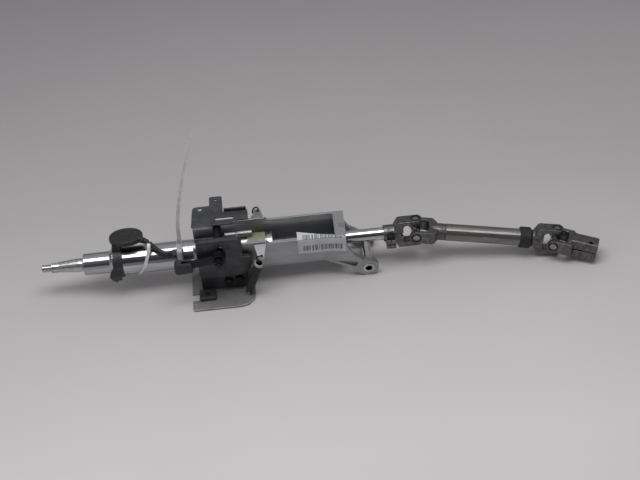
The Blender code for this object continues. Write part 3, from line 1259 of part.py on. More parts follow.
shaped(yoke_1, "DIFFERENCE", turned((
    (-PINCH_LUG_FOOT - CUT_MARGIN, PINCH_BOLT_RADIUS + CLEARANCE),
    (PINCH_LUG_TOP + CUT_MARGIN, PINCH_BOLT_RADIUS + CLEARANCE),
), SMALL_SIDES, "Z", (lug_middle, pinch_y)))
hex_bolt("pinch_bolt", PINCH_BOLT_FLATS, PINCH_BOLT_HEAD, PINCH_BOLT_RADIUS,
         PINCH_LUG_TOP + PINCH_LUG_FOOT, BLACK_STEEL, joint_1, None,
         (lug_middle, pinch_y, PINCH_LUG_TOP + CLEARANCE))


def heading(yaw, drop):
    """The direction of a shaft that turns by yaw and falls by drop."""
    return Vector((math.cos(drop) * math.cos(yaw), math.cos(drop) * math.sin(yaw), -math.sin(drop)))


def frame_of(x_axis, y_axis, origin):
    """A matrix with the given X and Y axes."""
    z_axis = x_axis.cross(y_axis)
    frame = Matrix((x_axis, y_axis, z_axis)).transposed().to_4x4()
    frame.translation = origin
    return frame


# Directions of the shafts and of the four joint pins, in world axes
world_joint_1 = Vector((JOINT_1_X, 0, AXIS_HEIGHT))
pin_1 = Matrix.Rotation(JOINT_1_ROLL, 3, "X") @ Vector((0, 0, 1))
middle_line = heading(MIDDLE_YAW, MIDDLE_DROP)
pin_2 = pin_1.cross(middle_line).normalized()
pin_3 = middle_line.cross(pin_2).normalized()
world_joint_2 = world_joint_1 + middle_line * MIDDLE_LENGTH
gear_line = heading(GEAR_YAW, GEAR_DROP)
pin_4 = pin_3.cross(gear_line).normalized()

cross_1_frame = empty("cross_1_frame", frame_of(pin_2.cross(pin_1), pin_2, world_joint_1))
middle = empty("middle_axis", frame_of(middle_line, pin_2, world_joint_1))
cross_2_frame = empty("cross_2_frame", frame_of(pin_4.cross(pin_3), pin_4, world_joint_2))
gear = empty("gear_axis", frame_of(gear_line, pin_4, world_joint_2))

cross_set(1, cross_1_frame)
cross_set(2, cross_2_frame)
cup("cup_1_top", joint_1, "Z", 1)
cup("cup_1_foot", joint_1, "Z", -1)
cup("cup_1_far", middle, "Y", 1)
cup("cup_1_near", middle, "Y", -1)

# Middle shaft: yoke, tube and seal, with the hub turned round to face the first joint
TURNED_ROUND = Matrix(((-1, 0, 0), (0, 0, 1), (0, 1, 0)))
yoke_2 = fork("yoke_2", YOKE_2_HUB_END, MIDDLE_HUB_RADIUS, FORGED_STEEL, middle, TURNED_ROUND)
spigot = MIDDLE_TUBE_RADIUS - MIDDLE_TUBE_WALL - CLEARANCE
shaped(yoke_2, "UNION", turned((
    (-YOKE_2_HUB_END - MIDDLE_SPIGOT_LENGTH, spigot), (-YOKE_2_HUB_END + EDGE * 3, spigot)
)))
tube_low = YOKE_2_HUB_END + CLEARANCE
solid("middle_tube", turned((
    (tube_low, MIDDLE_TUBE_RADIUS - EDGE / 2), (tube_low + EDGE / 2, MIDDLE_TUBE_RADIUS),
    (MIDDLE_TUBE_END, MIDDLE_TUBE_RADIUS),
    (MIDDLE_TUBE_END, MIDDLE_TUBE_RADIUS - MIDDLE_TUBE_WALL),
    (tube_low, MIDDLE_TUBE_RADIUS - MIDDLE_TUBE_WALL),
)), TUBE_STEEL, middle, endless=True)
seal_lip = SLIDING_SHAFT_RADIUS + CLEARANCE
seal_grip = MIDDLE_TUBE_RADIUS + CLEARANCE
solid("dust_seal", turned((
    (SEAL_START, seal_grip), (SEAL_START, SEAL_RADIUS - EDGE * 2), (SEAL_START + EDGE * 2, SEAL_RADIUS),
    (SEAL_END - EDGE * 3, SEAL_RADIUS), (SEAL_END, SEAL_RADIUS - EDGE * 4), (SEAL_END, seal_lip),
    (SEAL_END - EDGE * 3, seal_lip), (SEAL_END - EDGE * 3, seal_grip - EDGE * 2),
    (MIDDLE_TUBE_END + CLEARANCE, seal_grip - EDGE * 2), (MIDDLE_TUBE_END + CLEARANCE, seal_grip),
)), BLACK_RUBBER, middle, endless=True)

# Sliding shaft and the third yoke, whose pins stand across those of the second
slide = empty("slide_axis", Matrix.Translation((MIDDLE_LENGTH, 0, 0)), middle)
hub_back = -YOKE_3_HUB_END
shaft_back = SLIDING_SHAFT_START - MIDDLE_LENGTH
shaft_stop = hub_back - CLEARANCE
solid("sliding_shaft", turned((
    (shaft_back, SLIDING_SHAFT_RADIUS - EDGE), (shaft_back + EDGE, SLIDING_SHAFT_RADIUS),
    (shaft_stop, SLIDING_SHAFT_RADIUS), (shaft_stop, SLIDING_SPIGOT_RADIUS),
    (-FORK_THROAT - EDGE * 2, SLIDING_SPIGOT_RADIUS),
)), TUBE_STEEL, slide)
yoke_3 = fork("yoke_3", YOKE_3_HUB_END, MIDDLE_HUB_RADIUS, FORGED_STEEL, slide)
shaped(yoke_3, "DIFFERENCE", turned((
    (hub_back - CUT_MARGIN, SLIDING_SPIGOT_RADIUS + CLEARANCE),
    (-FORK_THROAT + CUT_MARGIN, SLIDING_SPIGOT_RADIUS + CLEARANCE),
), SMALL_SIDES))
cup("cup_2_top", slide, "Z", 1)
cup("cup_2_foot", slide, "Z", -1)
cup("cup_2_far", gear, "Y", 1)
cup("cup_2_near", gear, "Y", -1)

# Gear end yoke: a block hub with a splined bore, a pinch slot and a cross hole for its bolt
gear_yoke = fork("gear_yoke", GEAR_HUB_END / 2, GEAR_HUB_FAR, FORGED_STEEL, gear, TURNED_ROUND)
hub_outline = rounded((
    (-GEAR_HUB_HALF_HEIGHT, -GEAR_HUB_NEAR, EDGE * 5),
    (GEAR_HUB_HALF_HEIGHT, -GEAR_HUB_NEAR, EDGE * 5),
    (GEAR_HUB_HALF_HEIGHT, GEAR_HUB_FAR, EDGE * 8),
    (-GEAR_HUB_HALF_HEIGHT, GEAR_HUB_FAR, EDGE * 8),
))
hub_start = FORK_THROAT + EDGE * 3
hub_rings = []
for x, grow in (
    (-GEAR_HUB_END, -EDGE), (-GEAR_HUB_END + EDGE, 0), (-hub_start - EDGE * 8, 0), (-hub_start, -EDGE * 4)
):
    hub_rings.append([
        Vector((x, u + math.copysign(min(abs(grow), abs(u)), -u), v + math.copysign(min(abs(grow), abs(v)), -v)))
        for u, v in hub_outline
    ])
shaped(gear_yoke, "UNION", hub_rings)
shaped(gear_yoke, "DIFFERENCE", turned((
    (-GEAR_HUB_END - CUT_MARGIN, GEAR_BORE_RADIUS), (-FORK_THROAT + CUT_MARGIN, GEAR_BORE_RADIUS)
), SMALL_SIDES))
shaped(gear_yoke, "DIFFERENCE", box(
    (-GEAR_HUB_END - CUT_MARGIN, -hub_start - EDGE * 6),
    (-PINCH_SLOT / 2, PINCH_SLOT / 2),
    (-GEAR_HUB_NEAR - CUT_MARGIN, 0),
))
shaped(gear_yoke, "DIFFERENCE", turned((
    (-GEAR_HUB_HALF_HEIGHT - CUT_MARGIN, GEAR_BOLT_RADIUS),
    (GEAR_HUB_HALF_HEIGHT + CUT_MARGIN, GEAR_BOLT_RADIUS),
), SMALL_SIDES, "Y", (-GEAR_BOLT_X, -GEAR_BOLT_Y)))

# Tilt springs: a coil, a foot hook through the console's lug and a head hook round the ear
EAR_HOLE_REACH = EAR_REACH - EAR_HOLE_EDGE
EAR_TOP = AXIS_HEIGHT + RIM_HEIGHT - EAR_DROP
EAR_FOOT = EAR_TOP - EAR_THICKNESS
HOOK_OUT = EAR_REACH + SPRING_WIRE_RADIUS + CLEARANCE
HOOK_OVER = EAR_TOP + EAR_DROP / 4 + SPRING_WIRE_RADIUS + CLEARANCE
for name, side in (("near", -1), ("far", 1)):
    foot = Vector((SPRING_FOOT_X, side * SPRING_Y, SPRING_FOOT_Z))
    head = Vector((EAR_X, side * EAR_HOLE_REACH, EAR_FOOT))
    length = (head - foot).length
    upward = (head - foot).normalized()
    across = upward.cross(Vector((0, 1, 0))).normalized()
    spring_matrix = frame_of(across, upward.cross(across), foot)
    frame = empty(f"spring_{name}_axis", spring_matrix)
    coil_low = SPRING_FOOT_HOOK
    coil_high = length - SPRING_HEAD_HOOK
    foot_hook = [
        foot + Vector((SPRING_FOOT_HOOK / 2, 0, 0)),
        foot,
        foot + Vector((-SPRING_FOOT_HOOK / 3, 0, SPRING_WIRE_RADIUS * 2)),
    ]
    head_hook = [
        Vector((EAR_X, side * HOOK_OUT, EAR_FOOT)),
        Vector((EAR_X, side * HOOK_OUT, EAR_TOP)),
        Vector((EAR_X, side * (EAR_REACH - SPRING_WIRE_RADIUS), HOOK_OVER)),
        Vector((EAR_X, side * (EAR_HOLE_REACH + SPRING_WIRE_RADIUS), HOOK_OVER)),
        Vector((EAR_X, side * EAR_HOLE_REACH, EAR_TOP)),
        Vector((EAR_X, side * EAR_HOLE_REACH, EAR_FOOT - SPRING_WIRE_RADIUS)),
    ]
    into_spring = spring_matrix.inverted()
    path = [into_spring @ point for point in foot_hook]
    stations = 8
    for step in range(SPRING_TURNS * stations + 1):
        angle = 2 * math.pi * step / stations
        rise = coil_low + (coil_high - coil_low) * step / (SPRING_TURNS * stations)
        path.append(Vector((
            SPRING_COIL_RADIUS * math.cos(angle), SPRING_COIL_RADIUS * math.sin(angle), rise
        )))
    path += [into_spring @ point for point in head_hook]
    solid(f"tilt_spring_{name}", swept(path, round_section(SPRING_WIRE_RADIUS, 4)), BLACK_STEEL, frame)
    sleeve_low = coil_low - SPRING_WIRE_RADIUS
    sleeve_high = coil_high + SPRING_WIRE_RADIUS * 2
    sleeve_bore = SPRING_COIL_RADIUS + SPRING_WIRE_RADIUS + CLEARANCE
    solid(f"spring_sleeve_{name}", turned((
        (sleeve_low, sleeve_bore), (sleeve_low, SLEEVE_RADIUS - EDGE), (sleeve_low + EDGE, SLEEVE_RADIUS),
        (sleeve_high - EDGE, SLEEVE_RADIUS), (sleeve_high, SLEEVE_RADIUS - EDGE), (sleeve_high, sleeve_bore),
    ), SMALL_SIDES, "Z"), BLACK_RUBBER, frame, endless=True)
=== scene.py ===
# %% [markdown]
# # Dressing a steering column
# The column carries the turn of the steering wheel down to the steering gear.
# It lies upside down on a bench, wheel end at -X, gear end at +X, and Z is up.
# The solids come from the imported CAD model, so each piece made here has a fixed place to sit.

# %% Load the fixed frame
import math
import random

import bmesh
import bpy
from mathutils import Matrix, Vector


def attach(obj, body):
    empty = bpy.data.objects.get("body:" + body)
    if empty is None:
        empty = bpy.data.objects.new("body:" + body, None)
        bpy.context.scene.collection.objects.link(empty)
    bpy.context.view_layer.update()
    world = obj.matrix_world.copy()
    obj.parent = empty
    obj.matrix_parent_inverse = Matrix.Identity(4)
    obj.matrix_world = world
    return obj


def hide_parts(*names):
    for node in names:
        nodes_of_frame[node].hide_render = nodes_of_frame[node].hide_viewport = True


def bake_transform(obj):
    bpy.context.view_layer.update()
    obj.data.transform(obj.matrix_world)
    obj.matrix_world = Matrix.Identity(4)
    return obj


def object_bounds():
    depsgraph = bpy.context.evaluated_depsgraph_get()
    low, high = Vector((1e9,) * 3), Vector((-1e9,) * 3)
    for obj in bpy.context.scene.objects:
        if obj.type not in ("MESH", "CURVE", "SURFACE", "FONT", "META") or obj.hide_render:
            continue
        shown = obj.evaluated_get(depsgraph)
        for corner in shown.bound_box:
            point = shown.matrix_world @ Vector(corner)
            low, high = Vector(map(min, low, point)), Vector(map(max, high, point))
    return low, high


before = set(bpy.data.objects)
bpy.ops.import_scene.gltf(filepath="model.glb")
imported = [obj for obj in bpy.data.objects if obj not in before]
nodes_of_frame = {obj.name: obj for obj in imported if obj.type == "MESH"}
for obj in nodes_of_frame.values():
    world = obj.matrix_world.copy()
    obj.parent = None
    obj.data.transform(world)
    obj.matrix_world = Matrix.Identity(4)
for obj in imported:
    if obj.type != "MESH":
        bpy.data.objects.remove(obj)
cad_low, cad_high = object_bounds()
print("CAD nodes:", len(nodes_of_frame), "box:", [round(v, 4) for v in cad_high - cad_low])

# %% [markdown]
# Colours are written as sRGB hex, as a colour picker shows them, and one function makes them linear.
# A second small function adds a shader node with its settings, values and links in one line.

# %% Colours and shader nodes
MM = 0.001


def linear(code):
    """The linear RGBA colour of an sRGB hex code."""
    parts = [int(code[i:i + 2], 16) / 255 for i in (0, 2, 4)]
    return (*(p / 12.92 if p <= 0.04045 else ((p + 0.055) / 1.055) ** 2.4 for p in parts), 1.0)


def add(tree, kind, values=(), links=(), **settings):
    """One shader node: its own settings, the values of its sockets, and what feeds them."""
    node = tree.nodes.new("ShaderNode" + kind)
    for name, value in settings.items():
        setattr(node, name, value)
    for socket, value in dict(values).items():
        node.inputs[socket].default_value = value
    for socket, source in dict(links).items():
        tree.links.new(source, node.inputs[socket])
    return node


print("black, white:", linear("000000"), linear("ffffff"))

# %% [markdown]
# The room is plain: a soft grey sky that is lighter overhead, a wide soft lamp above and a weak one at
# the wheel end. The sky has one darker patch above the camera, like an open doorway, which gives round
# steel its dark middle band without any painted shade.

# %% Sky, lamps and view
scene = bpy.context.scene
scene.view_settings.view_transform = "Standard"
world = bpy.data.worlds.new("studio_sky")
scene.world = world
world.use_nodes = True
sky = world.node_tree
direction = add(sky, "TexCoord").outputs["Generated"]
height = add(sky, "SeparateXYZ", links={0: direction}).outputs["Z"]
rise = add(sky, "MapRange", {"From Min": -0.1, "From Max": 0.9}, {"Value": height}).outputs["Result"]
shades = add(sky, "Mix", {6: linear("626164"), 7: linear("b9b9bc")}, {0: rise}, data_type="RGBA")
TOWARDS_DOORWAY = (0.0, -0.74, 0.67)
nearness = add(sky, "VectorMath", {1: TOWARDS_DOORWAY}, {0: direction}, operation="DOT_PRODUCT")
doorway = add(sky, "MapRange", {"From Min": 0.86, "From Max": 0.97}, {"Value": nearness.outputs["Value"]},
              interpolation_type="SMOOTHSTEP")
unlit = add(sky, "Mix", {7: linear("2c2b2d")}, {0: doorway.outputs["Result"], 6: shades.outputs[2]},
            data_type="RGBA")
sky.links.new(unlit.outputs[2], sky.nodes["Background"].inputs["Color"])


def soft_lamp(name, place, target, width, depth, watts):
    """A wide area lamp aimed at a point."""
    light = bpy.data.lights.new(name, "AREA")
    light.shape = "RECTANGLE"
    light.size, light.size_y = width, depth
    light.energy = watts
    lamp = bpy.data.objects.new(name, light)
    lamp.location = place
    lamp.rotation_euler = (Vector(target) - Vector(place)).to_track_quat("-Z", "Y").to_euler()
    scene.collection.objects.link(lamp)
    print(name, "watts", watts)


soft_lamp("ceiling_panel", (0.10, -0.10, 1.70), (0.10, -0.05, 0.0), 1.5, 0.7, 15)
soft_lamp("side_panel", (-1.5, -0.6, 1.3), (0.1, 0.0, 0.05), 0.9, 0.9, 3)

# %% [markdown]
# The bench top is a plain pale sheet. Its colour carries painted shade: it gets darker away from the camera
# side, as the light of a deep room falls off.

# %% Bench top
floor_mesh = bpy.data.meshes.new("bench_top")
BENCH_REACH, BENCH_GAP = 8.0, 0.2 * MM
rest_height = cad_low.z - BENCH_GAP
bench_corners = [(x * BENCH_REACH, y * BENCH_REACH, rest_height)
                 for x, y in ((-1, -1), (1, -1), (1, 1), (-1, 1))]
floor_mesh.from_pydata(bench_corners, [], [(0, 1, 2, 3)])
floor = bpy.data.objects.new("bench_top", floor_mesh)
scene.collection.objects.link(floor)
floor_paint = bpy.data.materials.new("bench_laminate")
floor_paint.use_nodes = True
tree = floor_paint.node_tree
place = add(tree, "TexCoord").outputs["Object"]
depth = add(tree, "SeparateXYZ", links={0: place}).outputs["Y"]
share = add(tree, "MapRange", {"From Min": -0.35, "From Max": 0.75}, {"Value": depth}).outputs["Result"]
# Painted shade: this ramp darkens the bench colour towards +Y, away from the camera.
painted_falloff = add(tree, "ValToRGB", links={0: share})
painted_falloff.color_ramp.elements.new(0.45)
knots = sorted(painted_falloff.color_ramp.elements, key=lambda knot: knot.position)
for knot, code in zip(knots, ("d6d3d3", "b1aeae", "918e90")):
    knot.color = linear(code)
cloud = add(tree, "TexNoise", {"Scale": 3.0, "Detail": 3.0}, {"Vector": place}).outputs["Fac"]
haze = add(tree, "MapRange", {"To Min": 0.95, "To Max": 1.05}, {"Value": cloud}).outputs["Result"]
tint = add(tree, "VectorMath", {}, {0: painted_falloff.outputs["Color"], 1: haze}, operation="MULTIPLY")
paint = tree.nodes["Principled BSDF"]
tree.links.new(tint.outputs[0], paint.inputs["Base Color"])
paint.inputs["Roughness"].default_value = 0.55
floor_mesh.materials.append(floor_paint)
print("bench at", round(rest_height, 5))

# %% [markdown]
# The camera stands where the photographer stood: above the near side, looking down by 47 degrees.
# A long lens from further away keeps the shafts nearly parallel, as the photograph shows them.

# %% Camera
camera_data = bpy.data.cameras.new("camera")
camera = bpy.data.objects.new("camera", camera_data)
scene.collection.objects.link(camera)
AZIMUTH, LOOK_DOWN, ROLL = math.radians(2.0), math.radians(46.85), math.radians(-4.51)
LOOK_AT = Vector((0.1409, 0.0028, 0.049))
DISTANCE, FOCAL_PIXELS, PHOTO_WIDTH = 2.235, 1500.0, 640
ahead = Vector((
    math.sin(AZIMUTH) * math.cos(LOOK_DOWN), math.cos(AZIMUTH) * math.cos(LOOK_DOWN), -math.sin(LOOK_DOWN)))
level = Vector((math.cos(AZIMUTH), -math.sin(AZIMUTH), 0))
upright = level.cross(ahead)
right = math.cos(ROLL) * level + math.sin(ROLL) * upright
top = math.cos(ROLL) * upright - math.sin(ROLL) * level
stand = LOOK_AT - DISTANCE * ahead
camera.matrix_world = Matrix((
    (right.x, top.x, -ahead.x, stand.x), (right.y, top.y, -ahead.y, stand.y),
    (right.z, top.z, -ahead.z, stand.z), (0, 0, 0, 1)))
camera_data.sensor_width = 36
camera_data.lens = FOCAL_PIXELS * camera_data.sensor_width / PHOTO_WIDTH
scene.camera = camera
print("lens", round(camera_data.lens, 2), "mm")

# %% [markdown]
# Nearly every surface here has the same four things: a base colour with cloudy patches, a fine grain that
# catches light, a roughness that follows the patches, and edges that are rubbed paler by handling.
# One function builds them from real sizes in millimetres, so each material below is a short list of facts.

# %% One builder for worn surfaces


def surface(name, base, patch, roughness, metallic=0.0, patch_mm=(8, 8, 8), grain_mm=(1, 1, 1), depth_mm=0.02,
            rubbed=None, edge_mm=0.5, rub=0.8, ior=None):
    """A Principled material with patches, grain and rubbed edges. Patch and grain sizes are millimetres."""
    material = bpy.data.materials.new(name)
    material.use_nodes = True
    tree = material.node_tree
    shader = tree.nodes["Principled BSDF"]
    shader.inputs["Metallic"].default_value = metallic
    if ior:
        shader.inputs["IOR"].default_value = ior
    place = add(tree, "TexCoord").outputs["Object"]
    clouds = add(tree, "VectorMath", {1: [1000 / size for size in patch_mm]}, {0: place},
                 operation="MULTIPLY")
    cloud = add(tree, "TexNoise", {"Scale": 1.0, "Detail": 4.0, "Roughness": 0.6},
                {"Vector": clouds.outputs[0]})
    cover = add(tree, "MapRange", {"From Min": 0.32, "From Max": 0.68}, {"Value": cloud.outputs["Fac"]})
    colour = add(tree, "Mix", {6: linear(base), 7: linear(patch)}, {0: cover.outputs[0]}, data_type="RGBA")
    gloss = add(tree, "MapRange", {"To Min": roughness[0], "To Max": roughness[1]},
                {"Value": cover.outputs[0]})
    last_colour, last_gloss = colour.outputs[2], gloss.outputs[0]
    grains = add(tree, "VectorMath", {1: [1000 / size for size in grain_mm]}, {0: place},
                 operation="MULTIPLY")
    grain = add(tree, "TexNoise", {"Scale": 1.0, "Detail": 2.0}, {"Vector": grains.outputs[0]})
    bump = add(tree, "Bump", {"Strength": 1.0, "Distance": depth_mm * MM}, {"Height": grain.outputs["Fac"]})
    if rubbed:
        soft = add(tree, "Bevel", {"Radius": edge_mm * MM}, samples=6)
        tree.links.new(soft.outputs[0], bump.inputs["Normal"])
        flat = add(tree, "NewGeometry").outputs["Normal"]
        match = add(tree, "VectorMath", links={0: soft.outputs[0], 1: flat}, operation="DOT_PRODUCT")
        edge = add(tree, "MapRange", {"From Min": 0.985, "From Max": 0.80, "To Max": rub},
                   {"Value": match.outputs["Value"]})
        worn = add(tree, "Mix", {7: linear(rubbed)}, {0: edge.outputs[0], 6: last_colour},
                   data_type="RGBA")
        last_colour = worn.outputs[2]
    tree.links.new(last_colour, shader.inputs["Base Color"])
    tree.links.new(last_gloss, shader.inputs["Roughness"])
    tree.links.new(bump.outputs[0], shader.inputs["Normal"])
    print("material", name)
    return material


# %% [markdown]
# **Blasted aluminium.** The channel and its pivot arms are cast and shot blasted: a soft silver with a
# fine pebbled grain, greyer where hands and oil have been, and brighter on the corners.

# %% Blasted aluminium
blasted_aluminium = surface(
    "blasted_aluminium", "a9aaad", "9b9c9f", (0.40, 0.50), metallic=1.0,
    patch_mm=(34, 24, 24), grain_mm=(1.2, 1.2, 1.2), depth_mm=0.05, rubbed="e2e3e4", edge_mm=0.8)

# %% [markdown]
# **Drawn steel tube.** The jacket tube was pulled through a die, so faint lines run along it.
# The lines are drawn coarser than the real 0.1 mm so that they show. Its oil film gives long soft stains.

# %% Drawn steel tube
drawn_steel = surface(
    "drawn_steel", "c6c7c9", "a5a6a9", (0.14, 0.27), metallic=1.0,
    patch_mm=(60, 9, 9), grain_mm=(70, 0.9, 0.9), depth_mm=0.012, rubbed="e6e7e8", edge_mm=0.5)
grey_tube_steel = surface(
    "grey_tube_steel", "94918f", "7b7876", (0.26, 0.40), metallic=1.0,
    patch_mm=(45, 8, 8), grain_mm=(50, 1.0, 1.0), depth_mm=0.015, rubbed="b5b3b1", edge_mm=0.5)

# %% [markdown]
# **Turned and ground steel.** Shafts, bushes and bearing rings were turned on a lathe.
# The tool leaves rings round the axis: the grain is short along X and long across it.

# %% Turned and ground steel
turned_steel = surface(
    "turned_steel", "d2d2d1", "b3b2b0", (0.13, 0.25), metallic=1.0,
    patch_mm=(6, 30, 30), grain_mm=(0.9, 40, 40), depth_mm=0.012, rubbed="eeeeee", edge_mm=0.3)
ground_steel = surface(
    "ground_steel", "a9a9a8", "858482", (0.22, 0.38), metallic=1.0,
    patch_mm=(4, 4, 4), grain_mm=(0.8, 0.8, 0.8), depth_mm=0.015, rubbed="cdcdcc", edge_mm=0.3)

# %% [markdown]
# **Forged steel.** The yokes were hammered hot in a die and blasted, so they are dark grey, rough and
# slightly lumpy, with a brighter line where the corners have been knocked.

# %% Forged steel
forged_steel = surface(
    "forged_steel", "7d7b7a", "5c5a59", (0.36, 0.56), metallic=1.0,
    patch_mm=(6, 6, 6), grain_mm=(1.8, 1.8, 1.8), depth_mm=0.09, rubbed="aaa8a6", edge_mm=0.7)

# %% [markdown]
# ** Phosphated steel.** Console, cheek and trim carrier are pressed from sheet and phosphated: a dry dark
# grey crust of tiny crystals that shows oil marks, and bare metal along sheared edges. They are one finish
# in three tones of painted light: the cheek is darkest with painted shade, the trim carrier keeps the middle
# tone, and the console is paler with painted light.

# %% Phosphated steel
phosphated_steel = surface(
    "phosphated_steel", "5b5c5f", "45464a", (0.40, 0.58), metallic=0.75,
    patch_mm=(11, 11, 11), grain_mm=(1.1, 1.1, 1.1), depth_mm=0.03, rubbed="a2a1a0", edge_mm=0.7)
# A copy of the phosphated steel with painted shade: darker, for the cheek and capsules, which stand in shade
# on the camera side.
shaded_phosphate = surface(
    "shaded_phosphate", "4d4e53", "3a3b3f", (0.30, 0.48), metallic=0.6,
    patch_mm=(13, 13, 13), grain_mm=(1.3, 1.3, 1.3), depth_mm=0.04, rubbed="7d7c7b", edge_mm=0.7)
# A copy of the phosphated steel with painted light: paler, for the console plate, which faces up to the
# ceiling lamp.
lit_phosphate = surface(
    "lit_phosphate", "9f9d9b", "817f7e", (0.40, 0.60), metallic=0.8,
    patch_mm=(16, 16, 16), grain_mm=(1.4, 1.4, 1.4), depth_mm=0.04, rubbed="c4c1bd", edge_mm=1.1)

# %% [markdown]
# **Blackened steel and zinc plate.** Small turned parts are oil blackened. The clamp bolt and washers
# are zinc plated, which is a cold silver that dulls in cloudy patches.

# %% Blackened steel and zinc plate
blackened_steel = surface(
    "blackened_steel", "2e2e31", "222226", (0.28, 0.45), metallic=0.8,
    patch_mm=(5, 5, 5), grain_mm=(1.0, 1.0, 1.0), depth_mm=0.02, rubbed="77777a", edge_mm=0.4)
zinc_plate = surface(
    "zinc_plate", "b2b4b3", "8f9190", (0.24, 0.42), metallic=1.0,
    patch_mm=(4, 4, 4), grain_mm=(1.0, 1.0, 1.0), depth_mm=0.015, rubbed="d9dad9", edge_mm=0.4)

# %% [markdown]
# **Moulded plastics and rubber.** The coil and its band are glass filled nylon, spark eroded to a matt
# skin. Ties are natural nylon, which lets some light in. Sleeves and the dust seal are black rubber.

# %% Plastics and rubber
black_nylon = surface(
    "black_nylon", "24272a", "1b1d20", (0.42, 0.58), patch_mm=(7, 7, 7), grain_mm=(1.0, 1.0, 1.0),
    depth_mm=0.03, rubbed="4a4d50", edge_mm=0.5, rub=0.5, ior=1.53)
natural_nylon = surface(
    "natural_nylon", "dcdcda", "c6c6c4", (0.30, 0.42), patch_mm=(5, 5, 5), grain_mm=(1.2, 1.2, 1.2),
    depth_mm=0.02, ior=1.53)
natural_nylon.node_tree.nodes["Principled BSDF"].inputs["Subsurface Weight"].default_value = 0.25
natural_nylon.node_tree.nodes["Principled BSDF"].inputs["Subsurface Scale"].default_value = 1.5 * MM
seal_rubber = surface(
    "seal_rubber", "1d1d20", "151517", (0.50, 0.70), patch_mm=(6, 6, 6), grain_mm=(0.9, 0.9, 0.9),
    depth_mm=0.04, rubbed="45454a", edge_mm=0.6, rub=0.5, ior=1.52)

# %% [markdown]
# Each CAD node keeps its shape and only gets its finish. The list follows the pieces, not the slots,
# because two pieces of one steel can look different: the jacket tube shines, the grey middle tube does not.

# %% Finishes for the CAD nodes
finishes = {
    blasted_aluminium: ["lower_channel"],
    drawn_steel: ["jacket_tube", "bearing_housing", "sliding_shaft"],
    grey_tube_steel: ["middle_tube"],
    turned_steel: ["upper_shaft", "lower_shaft", "stop_rod", "pivot_tube", "pivot_bush_near",
                   "pivot_bush_far", "upper_bearing_inner", "lower_bearing_inner", "upper_bearing_outer",
                   "lower_bearing_outer"],
    ground_steel: ["cross_1", "cross_2", "cup_1_top", "cup_1_foot", "cup_1_far", "cup_1_near", "cup_2_top",
                   "cup_2_foot", "cup_2_far", "cup_2_near"],
    forged_steel: ["yoke_1", "yoke_2", "yoke_3", "gear_yoke"],
    phosphated_steel: ["trim_carrier"],
    shaded_phosphate: ["clamp_cheek", "capsule_near", "capsule_far"],
    lit_phosphate: ["console_plate"],
    blackened_steel: ["clamp_lever", "clamp_spacer", "bearing_retainer", "pinch_bolt",
                      "tilt_spring_near", "tilt_spring_far", "fixed_cam", "clamp_nut", "clamp_bolt",
                      "cheek_bolt_1", "cheek_bolt_2"],
    zinc_plate: ["clamp_washer"],
    black_nylon: ["coil_band", "reader_coil", "coil_cable", "cable_plug", "lever_grip"],
    natural_nylon: ["cable_tie", "tag_tie", "guide_bush_front", "guide_bush_rear"],
    seal_rubber: ["dust_seal", "spring_sleeve_near", "spring_sleeve_far"],
}
dressed = 0
for finish_of_piece, members in finishes.items():
    for member in members:
        slots = nodes_of_frame[member].data.materials
        for place_in_list in range(len(slots)):
            slots[place_in_list] = finish_of_piece
        dressed += 1
print("finished nodes:", dressed, "of", len(nodes_of_frame))

# %% [markdown]
# The small pieces below are all skins stretched over rings of points, so a few helpers make them.
# `turned` works like a lathe, `swept` like an extruder along a line, `curved` bends that line smoothly
# and `belt` draws a band tight round other pieces.
# A bevel modifier breaks sharp corners where a real press or mould would.

# %% Helpers for small pieces
AXIS_HEIGHT = 52 * MM


def shell(rings, looped=False):
    """Points and faces of a skin over rings of equal count, closed at both ends unless it is looped."""
    count = len(rings[0])
    points = [Vector(point) for row in rings for point in row]
    faces = []
    for row in range(len(rings) if looped else len(rings) - 1):
        low, high = row * count, (row + 1) % len(rings) * count
        faces += [(low + c, low + (c + 1) % count, high + (c + 1) % count, high + c) for c in range(count)]
    if not looped:
        faces += [tuple(range(count)), tuple(range(len(points) - count, len(points)))]
    return points, faces


def facing(origin, ahead, side=(0, 1, 0)):
    """A place whose Z runs ahead and whose X lies as near to side as it can."""
    z = Vector(ahead).normalized()
    y = z.cross(Vector(side)).normalized()
    place = Matrix((y.cross(z), y, z)).transposed().to_4x4()
    place.translation = origin
    return place


def disc(radius, sides):
    """A round section for swept."""
    return [(radius * math.cos(2 * math.pi * k / sides), radius * math.sin(2 * math.pi * k / sides))
            for k in range(sides)]


def slab(width, thickness):
    """A flat section for swept."""
    return [(-width / 2, -thickness / 2), (width / 2, -thickness / 2),
            (width / 2, thickness / 2), (-width / 2, thickness / 2)]


def turned(place, profile, sides=48, looped=False):
    """A lathe piece: (height, radius) pairs spun about the place's Z."""
    rings = [[place @ Vector((a, b, high)) for a, b in disc(radius, sides)] for high, radius in profile]
    return shell(rings, looped)


def swept(path, section, side=(0, 1, 0), share=lambda way: 1.0):
    """A section carried along a path without twisting. Share scales it as the way runs from 0 to 1."""
    rings, ahead = [], path[1] - path[0]
    place = facing(path[0], ahead, side)
    across, over = place.col[0].to_3d(), place.col[1].to_3d()
    for step, point in enumerate(path):
        onward = path[min(step + 1, len(path) - 1)] - path[max(step - 1, 0)]
        bend = ahead.rotation_difference(onward)
        across, over, ahead = bend @ across, bend @ over, onward
        size = share(step / (len(path) - 1))
        rings.append([point + (across * a + over * b) * size for a, b in section])
    return shell(rings)


def curved(points, steps):
    """A smooth path through the points, with each stretch cut in steps."""
    points = [Vector(point) for point in points]
    ends = [2 * points[0] - points[1], *points, 2 * points[-1] - points[-2]]
    path = []
    for a, b, c, d in zip(ends, ends[1:], ends[2:], ends[3:]):
        for step in range(steps):
            t = step / steps
            path.append(0.5 * (2 * b + (c - a) * t + (2 * a - 5 * b + 4 * c - d) * t * t
                               + (3 * b - a - 3 * c + d) * t ** 3))
    return [*path, points[-1]]


